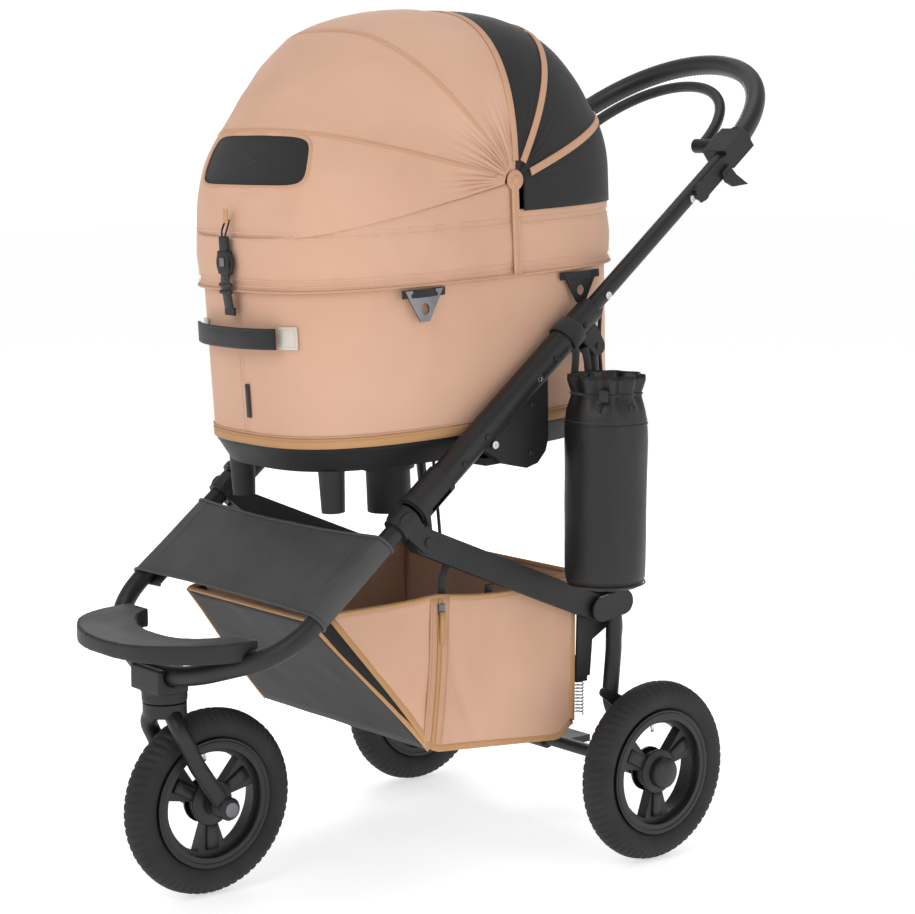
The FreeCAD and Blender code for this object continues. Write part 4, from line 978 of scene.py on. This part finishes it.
STRAP_HALF, STRAP_Z0, STRAP_Z1 = 0.085, 0.126, 0.154
strap_z = (STRAP_Z0 + STRAP_Z1) / 2
strap_pts = []
for i in range(41):
    u = -1 + 2 * i / 40
    x = STRAP_HALF * u
    y = -0.2990 + 0.0192 * abs(u) ** 2.6
    strap_pts.append(Vector((x, min(y, front_at(x, strap_z).y - 0.0022), strap_z)))
strap = sweep("grab_strap_webbing", to_world(strap_pts), BLACK_WEB, "cot", band(0.0265, 0.0030, 0.35),
    up=front_n)
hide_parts("grab_strap")
for side in (1, -1):
    for k, off in enumerate((-0.0105, 0.0105)):
        pts = [p + Vector((0, -0.0031, off)) for p in strap_pts]
        if side > 0:
            stitches("strap_edge_stitch_%d" % k, to_world(pts), front_n, DARK_STITCH, "cot")
    pts = [front_at(side * x, strap_z, 0.0014) for x in (0.079, 0.087, 0.095, 0.103)]
    ups = [world_normal(wall_normal(p)) for p in pts]
    sweep("strap_patch_%s" % side_name(side), to_world(pts), CREAM, "cot", band(0.0290, 0.0022, 0.35), up=ups)
    frame_line = [front_at(side * x, strap_z + dz, 0.0040) for x,
        dz in ((0.0805, 0.011), (0.1015, 0.011), (0.1015, -0.011), (0.0805, -0.011))]
    stitches("patch_stitch_%s" % side_name(side), resample(to_world(frame_line), 0.003, closed=True),
             world_normal(wall_normal(frame_line[1])), STITCH, "cot", closed=True)

# webbing bars that the side rings hang from
for label, yc, name in (("front", -0.119, "d_ring_front_"), ("rear", 0.147, "d_ring_rear_")):
    for side, tag in ((1, "left"), (-1, "right")):
        low, high = part_box(name + tag)
        x_out = max(abs(low[0]), abs(high[0]))
        pts = [Vector((side * (x_out - 0.0012 + (0.0020 if abs(dy) < 0.020 else -0.0015)), yc + dy,
            0.1880)) for dy in
               (-0.034, -0.026, -0.021, -0.010, 0.0, 0.010, 0.021, 0.026, 0.034)]
        sweep("ring_bar_%s_%s" % (label, tag), to_world(pts), BLACK_WEB, "cot", band(0.0105, 0.0018, 0.4),
            up=cot_dir(side, 0, 0))

# floor mat: a swollen pad
def swell(obj, cap, pressure=3.5, voxel=0.006):
    """Blow a closed pad up with cloth and keep each point within cap of where it was."""
    remesh = obj.modifiers.new("remesh", "REMESH")
    remesh.mode = "VOXEL"
    remesh.voxel_size = voxel
    apply_all(obj)
    start = [v.co.copy() for v in obj.data.vertices]
    cloth = obj.modifiers.new("cloth", "CLOTH")
    cloth.settings.use_pressure = True
    cloth.settings.uniform_pressure_force = pressure
    cloth.settings.effector_weights.gravity = 0.0
    cloth.settings.quality = 4
    cloth.point_cache.frame_end = 20
    for step in range(1, 21):
        bpy.context.scene.frame_set(step)
    apply_all(obj)
    for v, s in zip(obj.data.vertices, start):
        move = v.co - s
        if move.length > cap:
            v.co = s + move.normalized() * cap
    bpy.context.scene.frame_set(1)
    return obj


mat_rows = []
for k, z in ((0.02, 0.003), (0.6, 0.003), (0.95, 0.003), (0.985, 0.008), (0.985, 0.014), (0.94, 0.017),
    (0.6, 0.0175), (0.02, 0.0175)):
    mat_rows.append([cot_p(u.x * 0.1680 * k, u.y * TOP_A / TOP_B * 0.2685 * k, z) for u in RING])
mat = grid("floor_pad", mat_rows, MAT_CLOTH, None, closed=True)
work = bmesh.new()
work.from_mesh(mat.data)
bmesh.ops.holes_fill(work, edges=[e for e in work.edges if e.is_boundary], sides=400)
bmesh.ops.recalc_face_normals(work, faces=work.faces)
work.to_mesh(mat.data)
work.free()
swell(mat, 0.0035)
for poly in mat.data.polygons:
    poly.use_smooth = True
if not mat.data.materials:
    mat.data.materials.append(MAT_CLOTH)
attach(mat, "cot")
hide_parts("floor_mat")


# ---- basket ------------------------------------------------------------------------
B_FRONT, B_CREST, B_REAR = (-0.482, 0.372), (-0.315, 0.388), (-0.0795, 0.392)
B_LOW_REAR, B_LOW_FRONT = (-0.0795, 0.168), (-0.327, 0.190)
SPLIT = (-0.456, 0.3748)


def mix2(a, b, u):
    return (a[0] + (b[0] - a[0]) * u, a[1] + (b[1] - a[1]) * u)


def basket_half(y):
    return 0.1805 - 0.046 * (1 - smooth(y, -0.50, -0.33))


def basket_p(side, yz, out=0.0):
    return frame_p(side * (basket_half(yz[0]) + out), yz[0], yz[1])


def top_line(u):
    """Top edge from the black gusset to the back."""
    first = math.dist(SPLIT, B_CREST)
    total = first + math.dist(B_CREST, B_REAR)
    d = u * total
    if d < first:
        return mix2(SPLIT, B_CREST, d / first)
    w = (d - first) / (total - first)
    y, z = mix2(B_CREST, B_REAR, w)
    return (y, z - 0.012 * math.sin(math.pi * w))


def low_line(u):
    """Bottom edge of the sides, turned up at both corners."""
    y, z = mix2(B_LOW_FRONT, B_LOW_REAR, u)
    return (y, z + 0.020 * smooth(u, 0.86, 1.0) ** 2 + 0.006 * (1 - smooth(u, 0.0, 0.08)) ** 2)


basket_pieces = []
for side, tag in ((1, "left"), (-1, "right")):
    rows = []
    for i in range(49):
        u = i / 48
        high, low = top_line(u), low_line(u)
        row = []
        for j in range(31):
            v = j / 30
            yz = mix2(low, high, v)
            q = Vector((side, yz[0], yz[1]))
            swell_out = 0.0042 * math.sin(math.pi * v) * math.sin(math.pi * u) ** 0.7
            zip_pull = -0.0030 * math.exp(-((u - 0.33) / 0.03) ** 2) * math.sin(math.pi * v)
            folds = 0.0030 * wobble(q, 9.0, 2.2) + 0.0012 * wobble(q, 26.0, 4.0)
            row.append(basket_p(side, yz, swell_out + zip_pull + folds * math.sin(math.pi * v) ** 0.5))
        rows.append(row)
    cloth = grid("basket_side_" + tag, rows, PEACH, "chassis", thick=0.0022)
    tidy(cloth)
    basket_pieces.append(cloth)
    rows = []
    for i in range(17):
        u = i / 16
        high, low = mix2(B_FRONT, SPLIT, u), mix2(B_FRONT, B_LOW_FRONT, u)
        rows.append([basket_p(side, mix2(low, high, j / 12),
            0.002 * math.sin(math.pi * j / 12) * math.sin(math.pi * u)
                              + 0.0016 * wobble(Vector((side, u * 2, j / 6)), 2.0,
                              1.0) * math.sin(math.pi * j / 12)) for j in range(13)])
    gusset = grid("basket_gusset_" + tag, rows, BLACK_CLOTH, "chassis", thick=0.0020)
    tidy(gusset)
    basket_pieces.append(gusset)
    for label, line, width in (
            ("gusset_seam", [mix2(SPLIT, low_line(0.0), k / 12) for k in range(13)], 0.008),
            ("base_edge", [low_line(k / 30) for k in range(31)], 0.009),
            ("front_edge", [mix2(B_FRONT, B_LOW_FRONT, k / 12) for k in range(13)], 0.007),
            ("back_edge", [mix2(low_line(1.0), B_REAR, k / 12) for k in range(13)], 0.009)):
        pts = [basket_p(side, yz, 0.0016 if label != "gusset_seam" else 0.0026) for yz in line]
        strip = sweep("basket_%s_%s" % (label, tag), pts, TAN, "chassis", band(width, 0.0014, 0.5),
            up=Vector((side, 0, 0)))
        basket_pieces.append(strip)
    zip_line = [mix2((-0.3085, 0.3862), (-0.3215, 0.1945), k / 16) for k in range(17)]
    zip_out = [0.0016 + 0.0044 * math.sin(math.pi * k / 16) for k in range(17)]
    for dy in (-0.0095, 0.0095):
        pts = [basket_p(side, (yz[0] + dy, yz[1]), o) for yz, o in zip(zip_line, zip_out)]
        flap = sweep("basket_zip_flap_%s_%d" % (tag, 1 if dy > 0 else 0), pts, PEACH_TRIM, "chassis",
            band(0.0120, 0.0018, 0.5),
                     up=Vector((side, 0, 0)))
        thread = stitches("basket_zip_stitch_%s_%d" % (tag, 1 if dy > 0 else 0),
                          [p + Vector((side * 0.0018, math.copysign(0.003, dy), 0)) for p in pts],
                          Vector((side, 0, 0)), TAN_STITCH, "chassis")
        basket_pieces += [flap, thread]
    teeth = sweep("basket_zip_teeth_" + tag, [basket_p(side, yz, o + 0.0002) for yz,
        o in zip(zip_line, zip_out)], TAN, "chassis",
                  band(0.0062, 0.0016, 0.4), up=Vector((side, 0, 0)))
    basket_pieces.append(teeth)

for label, a, b, look, area_flat in (("front", B_FRONT, B_LOW_FRONT, BLACK_CLOTH, None),
    ("base", B_LOW_FRONT, B_LOW_REAR, BLACK_CLOTH, None),
                                     ("back", low_line(1.0), B_REAR, PEACH, None)):
    rows = []
    for i in range(17):
        yz = mix2(a, b, i / 16) if label != "base" else low_line(i / 16)
        half = basket_half(yz[0])
        row = []
        for j in range(33):
            v = -1 + 2 * j / 32
            dip = 0.006 * (1 - v * v) * math.sin(math.pi * i / 16)
            along_n = Vector((0, b[1] - a[1], -(b[0] - a[0]))).normalized()
            row.append(frame_p(v * half, yz[0], yz[1]) - along_n * dip * (1 if label != "back" else -1)
                       + along_n * 0.0014 * wobble(Vector((v, i / 8, 0)), 3.0, 6.0))
        rows.append(row)
    cloth = grid("basket_" + label, rows, look, "chassis",
        thick=0.0020)
    tidy(cloth)
    basket_pieces.append(cloth)
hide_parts("basket")

rim_pts = [basket_p(1, top_line(k / 18), 0.0) for k in range(19)]
rim_pts += [frame_p(0.1805 - 0.0361 * k, *B_REAR) for k in range(1, 11)]
rim_pts += [Vector((-p.x, p.y, p.z)) for p in reversed(rim_pts[:18])]
basket_rim = sweep("basket_top_binding", resample(rim_pts, 0.006), TAN, "chassis", circle(0.0034, 10))
front_rim = sweep("basket_front_binding", resample([basket_p(1, SPLIT), basket_p(1, B_FRONT),
    basket_p(-1, B_FRONT), basket_p(-1, SPLIT)], 0.006),
                  TAN, "chassis", circle(0.0030, 10))
basket_pieces += [basket_rim, front_rim]
for piece in basket_pieces:
    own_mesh(piece)
low, high = part_box("basket_zip_pull")
pull_x = high[0] + 0.0012
pull_line = [Vector((pull_x, (low[1] + high[1]) / 2, high[2] - d)) for d in (0.010, 0.022, 0.036, 0.052)]
sweep("zip_puller", pull_line, TAN, "zip_slider", band(0.0085, 0.0018, 0.5), up=Vector((1, 0, 0)))
for side in (1, -1):
    for y, z_top in ((-0.300, 0.428), (-0.222, 0.394)):
        z0 = mix2(B_CREST, B_REAR, (y - B_CREST[0]) / (B_REAR[0] - B_CREST[0]))[1]
        sweep("basket_hanger_%s_%d" % ("left" if side > 0 else "right", round(-y * 1000)),
              [frame_p(side * 0.1745, y, z0 - 0.020), frame_p(side * 0.1755, y, (z0 + z_top) / 2),
              frame_p(side * 0.1850, y, z_top)],
              BLACK_WEB, "chassis", band(0.012, 0.0016, 0.4), up=Vector((side, 0, 0)))

# ---- apron -------------------------------------------------------------------------
A_TOP, A_LOW = -0.046, -0.180
wrap = 0.0142
profile = [(0.172, -wrap), (0.185, -wrap)]
for k in range(15):
    a = -math.pi / 2 + math.pi * k / 14
    profile.append((FRAME_HALF + wrap * math.cos(a), wrap * math.sin(a)))
across = [0.180, 0.165, 0.145, 0.12, 0.09, 0.06, 0.03, 0.0]
profile += [(x, wrap) for x in across]
profile += [(-x, n) for x, n in reversed(profile[:-1])]
rows = []
for i in range(25):
    share = i / 24
    s = A_LOW + (A_TOP - A_LOW) * share
    row = []
    for x, n in profile:
        sag = 0.0
        if n > 0:
            sag = -0.0052 * (1 - (x / 0.19) ** 2) * (0.55 + 0.45 * math.sin(math.pi * share)) if abs(x) < 0.19 else 0.0
        ripple = 0.0007 * wobble(Vector((x, s, n)), 15.0, 8.0)
        bow = 0.004 * (1 - (x / 0.2) ** 2) * (1 if share > 0.5 else -1) * abs(2 * share - 1) ** 6 if abs(x) < 0.2 else 0.0
        row.append(tube_p(x, s - bow * 1.4, n + sag + ripple))
    rows.append(row)
apron = grid("apron_sheet", rows, APRON, "front_frame", thick=0.0018, flip=True)
tidy(apron)
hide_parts("apron")
for label, row in (("low", rows[0]), ("high", rows[24])):
    sweep("apron_hem_" + label, resample(row, 0.004), APRON, "front_frame", circle(0.0021, 8))
for label, row, shift in (("low", rows[2], 0), ("high", rows[22], 0)):
    stitches("apron_stitch_" + label, row, Vector((0, -ST, CT)), DARK_STITCH, "front_frame", length=0.004,
        gap=0.002)
for side in (1, -1):
    line = [tube_p(side * 0.178, A_LOW + (A_TOP - A_LOW) * k / 20, wrap - 0.0002) for k in range(21)]
    stitches("apron_sleeve_%s" % side_name(side), line, Vector((0, -ST, CT)), DARK_STITCH, "front_frame",
             length=0.004, gap=0.002)

# ---- moulded pieces with rounded edges: step and caster housing ----------------------
def softened(cad, name, body, look, voxel, rounds, narrow=1.0):
    source = frame["nodes"][cad]
    copy = source.data.copy()
    copy.transform(source.matrix_world)
    obj = bpy.data.objects.new(name, copy)
    bpy.context.scene.collection.objects.link(obj)
    fill = obj.modifiers.new("fill", "REMESH")
    fill.mode = "VOXEL"
    fill.voxel_size = voxel
    soft = obj.modifiers.new("soft", "SMOOTH")
    soft.factor = 0.5
    soft.iterations = rounds
    apply_all(obj)
    obj.data.materials.clear()
    obj.data.materials.append(look)
    for v in obj.data.vertices:
        v.co.x = CX + (v.co.x - CX) * narrow
    for poly in obj.data.polygons:
        poly.use_smooth = True
    tidy(obj)
    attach(obj, body)
    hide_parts(cad)
    return obj


step = softened("footplate", "step_plate", "front_frame", PLASTIC, 0.0020, 7, 0.95)
step.data.materials.append(PAD)
top_z = max(v.co.z for v in step.data.vertices)
rim_tree = kdtree.KDTree(len(step.data.vertices))
for v in step.data.vertices:
    if v.normal.z < 0.55:
        rim_tree.insert(Vector((v.co.x, v.co.y, 0)), v.index)
rim_tree.balance()
pad = set()
for v in step.data.vertices:
    if v.normal.z >= 0.55 and v.co.z > top_z - 0.016:
        inward = rim_tree.find(Vector((v.co.x, v.co.y, 0)))[2]
        v.co.z -= 0.0028 * smooth(inward, 0.007, 0.011)
        if inward > 0.0105:
            pad.add(v.index)
for poly in step.data.polygons:
    poly.material_index = 1 if all(i in pad for i in poly.vertices) else 0
softened("caster_housing", "caster_cup", "front_frame", PLASTIC, 0.0018, 9)

# ---- bottle bag --------------------------------------------------------------------
low, high = part_box("bottle_bag")
bag_c = Vector(((high[0] - 0.054), AX - 0.105, 0.0))


def bag_warp(a, h):
    body = 1 + 0.010 * math.sin(2 * a + 9 * h) + 0.016 * wobble(Vector((math.cos(a), math.sin(a), h * 9)),
        1.6, 3.0)
    tall = 0.010 * math.sin(7 * a + 4 * math.sin(h * 20)) * smooth(h, 0.42, 0.60)
    pleat = 0.085 * math.cos(9 * a + 0.7 * math.sin(2 * a)) * smooth(h, 0.606, 0.655)
    return body - 0.012 + tall + pleat


bag_profile = [(0.0004, 0.3892), (0.034, 0.3888), (0.0455, 0.3905), (0.0515, 0.3960), (0.0535, 0.4050)]
bag_profile += [(0.0538, 0.42 + 0.02 * k) for k in range(9)]
bag_profile += [(0.0536, 0.596), (0.0528, 0.610), (0.0508, 0.621), (0.0476, 0.630), (0.0448, 0.637),
    (0.0432, 0.643), (0.0452, 0.651),
                (0.0474, 0.660), (0.0468, 0.667), (0.0442, 0.664), (0.0418, 0.652), (0.0405, 0.643),
                (0.0432, 0.630), (0.0480, 0.615),
                (0.0508, 0.600), (0.0512, 0.56), (0.0512, 0.48), (0.0510, 0.41), (0.040, 0.3938),
                (0.0004, 0.3930)]
bag = lathe("bottle_bag_shell", bag_profile, bag_c, BAG, "bag", steps=112, axis="Z",
    warp=bag_warp)
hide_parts("bottle_bag")
for z in (0.3995, 0.6080):
    ring = [bag_c + Vector((0.0531 * bag_warp(a, z) * math.cos(a), 0.0531 * bag_warp(a, z) * math.sin(a), z))
            for a in (2 * math.pi * k / 120 for k in range(120))]
    stitches("bag_stitch_%d" % round(z * 1000), ring,
        lambda p: (p - bag_c - Vector((0, 0, p.z))).normalized(), DARK_STITCH, "bag", closed=True)
    sweep("bag_welt_%d" % round(z * 1000), [p + (p - bag_c - Vector((0, 0,
        p.z))).normalized() * 0.0002 - Vector((0, 0, 0.004)) for p in ring],
          BAG, "bag", circle(0.0012, 8), closed=True)
neck = [bag_c + Vector((0.0436 * bag_warp(a, 0.643) * math.cos(a), 0.0436 * bag_warp(a, 0.643) * math.sin(a),
    0.6430))
        for a in (2 * math.pi * k / 144 for k in range(144))]
sweep("bag_drawcord", neck, BLACK_WEB, "bag", circle(0.0017, 8), closed=True)
block("bag_cord_lock", (0.013, 0.013, 0.016), bag_c + Vector((0.034, -0.037, 0.643)),
    (Vector((0.7, -0.7, 0)).normalized(), Vector((0.7, 0.7, 0)).normalized(), Vector((0, 0, 1))),
      PLASTIC, "bag", 0.003)
for k, dy in enumerate((-0.013, 0.013)):
    pts = smooth_line([bag_c + Vector((-0.0420, dy, 0.632)), bag_c + Vector((-0.0480, dy, 0.656)),
        Vector((0.2235, bag_c.y + dy * 0.8, 0.678)),
                       Vector((0.2215, bag_c.y + dy * 0.6, 0.696))], 18)
    sweep("bag_strap_%d" % k, pts, BLACK_WEB, "bag", band(0.0120, 0.0018, 0.4), up=Vector((1, 0, 0)))
    eye = bag_c + Vector((0.0486 * math.cos(-0.9 + k * 0.9), 0.0486 * math.sin(-0.9 + k * 0.9), 0.6270))
    lathe("bag_eyelet_%d" % k, [(0.0030, 0.0), (0.0036, 0.0012), (0.0048, 0.0014), (0.0058, 0.0004),
        (0.0058, -0.001)], eye, PLASTIC, "bag", steps=24)
s_bag = (0.3744 - 0.105) / CT
loop = [tube_p(FRAME_HALF + 0.0198 * math.cos(a), s_bag,
    0.0198 * math.sin(a)) for a in (2 * math.pi * k / 40 for k in range(40))]
sweep("bag_tube_loop", loop, BLACK_WEB, "chassis", band(0.024, 0.0018, 0.4),
      up=[(p - tube_p(FRAME_HALF, s_bag, 0)).normalized() for p in loop], closed=True)

# ---- wheels ------------------------------------------------------------------------
def tread_tyre(name, centre, body, cad):
    major, minor = 432, 38
    verts, faces = [], []
    for i in range(major):
        a = 2 * math.pi * i / major
        for j in range(minor):
            b = 2 * math.pi * j / minor
            bb = b if b <= math.pi else b - 2 * math.pi
            zone = 1 - smooth(abs(bb), 0.95, 1.25)
            slant = math.sin(a * 66 + math.copysign(3.0 * abs(bb) ** 0.9, bb))
            cut = smooth(slant, 0.35, 0.75) * smooth(abs(bb), 0.14, 0.28)
            rib = math.exp(-((abs(bb) - 0.20) / 0.05) ** 2)
            side_ring = 0.0005 * math.exp(-((abs(bb) - 1.75) / 0.05) ** 2) + 0.0007 * math.exp(-((abs(bb) - 2.25) / 0.06) ** 2)
            r = 0.0208 - 0.0015 * zone * max(cut, rib * 0.8) + side_ring
            rad = 0.101 + r * math.cos(bb)
            verts.append(centre + Vector((r * math.sin(bb), rad * math.cos(a), rad * math.sin(a))))
    for i in range(major):
        for j in range(minor):
            i2, j2 = (i + 1) % major, (j + 1) % minor
            faces.append((i * minor + j, i * minor + j2, i2 * minor + j2, i2 * minor + j))
    obj = make(name, verts, faces, RUBBER, body)
    tidy(obj)
    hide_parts(cad)


WHEELS = (("front", "front_tyre", "front_rim", "front_wheel"),
    ("rear_left", "rear_tyre_left", "rear_rim_left", "rear_wheel_left"),
          ("rear_right", "rear_tyre_right", "rear_rim_right", "rear_wheel_right"))
for label, cad, rim_cad, body in WHEELS:
    low, high = part_box(cad)
    centre = (Vector(low) + Vector(high)) / 2
    tread_tyre("tyre_" + label, centre, body, cad)
    r_low, r_high = part_box(rim_cad)
    for side, tag in ((1, "a"), (-1, "b")):
        lip = [centre + Vector((side * 0.0178, 0.0800 * math.cos(2 * math.pi * k / 96),
            0.0800 * math.sin(2 * math.pi * k / 96))) for k in range(96)]
        sweep("rim_bead_%s_%s" % (label, tag), lip, RIM, body, circle(0.0021, 8), closed=True)
        face = centre + Vector((side * 0.0082, 0, 0))
        lathe("spoke_ring_%s_%s" % (label, tag), [(0.0300, 0.0), (0.0300, 0.0030), (0.0285, 0.0042),
            (0.0245, 0.0042), (0.0220, 0.0060),
                                                  (0.0170, 0.0075), (0.0150, 0.0075)], face, RIM, body,
                                                  steps=64, side=side)
        for k in range(3):
            a = math.radians(30 + 120 * k)
            out = Vector((0, math.cos(a), math.sin(a)))
            pts = [face + out * r for r in (0.028, 0.038, 0.050, 0.062)]
            sweep("spoke_%s_%s_%d" % (label, tag, k), pts, RIM, body, band(0.0150, 0.0034, 0.5),
                up=Vector((side, 0, 0)),
                  scale=lambda u: 1.0 + 0.25 * u)
    if label != "front":
        side = 1 if centre.x > 0 else -1
        lathe("hub_cap_" + label, [(0.0205, -0.010), (0.0210, 0.000), (0.0200, 0.0030), (0.0160, 0.0058),
            (0.0110, 0.0078), (0.0050, 0.0086), (0.0, 0.0088)],
              Vector((side * (0.258 + 0.0230), centre.y, centre.z)), RIM, body, steps=64, side=side)
    a = math.radians(96)
    out = Vector((0, math.cos(a), math.sin(a)))
    sweep("valve_" + label, [centre + out * r + Vector((0.004, 0, 0)) for r in (0.0745, 0.066, 0.060, 0.055)],
        CHROME, body,
          circle(0.0026, 10), scale=lambda u: 1.0 - 0.15 * u)
for side, tag in ((1, "left"), (-1, "right")):
    f = Vector((side * 0.0505, AX - 0.546, 0.122))
    lathe("fork_cap_" + tag, [(0.0145, -0.004), (0.0148, 0.001), (0.0135, 0.0035), (0.0095, 0.0048)], f,
        PLASTIC, "caster", side=side)

# ---- chrome springs ----------------------------------------------------------------
low, high = part_box("brake_springs")
for side, tag in ((1, "left"), (-1, "right")):
    coil = []
    for k in range(260):
        u = k / 259
        a = 2 * math.pi * 10 * u
        coil.append(Vector((side * 0.165 + 0.0058 * math.cos(a), AX - 0.050 + 0.0058 * math.sin(a),
            low[2] + (high[2] - low[2]) * u)))
    spring = sweep("spring_coil_" + tag, coil, CHROME, "chassis", circle(0.0011, 6))
    if side > 0:
        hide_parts("brake_springs")

# ---- handle ------------------------------------------------------------------------
def handle_pt(turn, off_r, off_n):
    """turn runs 0 to pi round the bow, from left to right."""
    r = 0.197 + off_r
    return tube_p(r * math.cos(turn), 0.727 + r * math.sin(turn), off_n)


bow = [handle_pt(0.16 + (math.pi - 0.32) * k / 160, -0.0104, -0.0098) for k in range(161)]
stitches("grip_stitches", bow, lambda p: Vector((0, ST * 0.7, -CT * 0.7)), DARK_STITCH, "chassis",
    length=0.0042, gap=0.0022, radius=0.0006)
for side in (1, -1):
    turn = 0.153 if side > 0 else math.pi - 0.153
    ring = []
    for k in range(32):
        a = 2 * math.pi * k / 32
        ring.append(handle_pt(turn, 0.0142 * math.cos(a), 0.0142 * math.sin(a)))
    sweep("grip_end_%s" % side_name(side), ring, GRIP, "chassis", circle(0.0022, 8), closed=True)
for place in frame["nodes"]["handle_grip"].material_slots if isinstance(frame["nodes"], dict) else ():
    place.material = GRIP
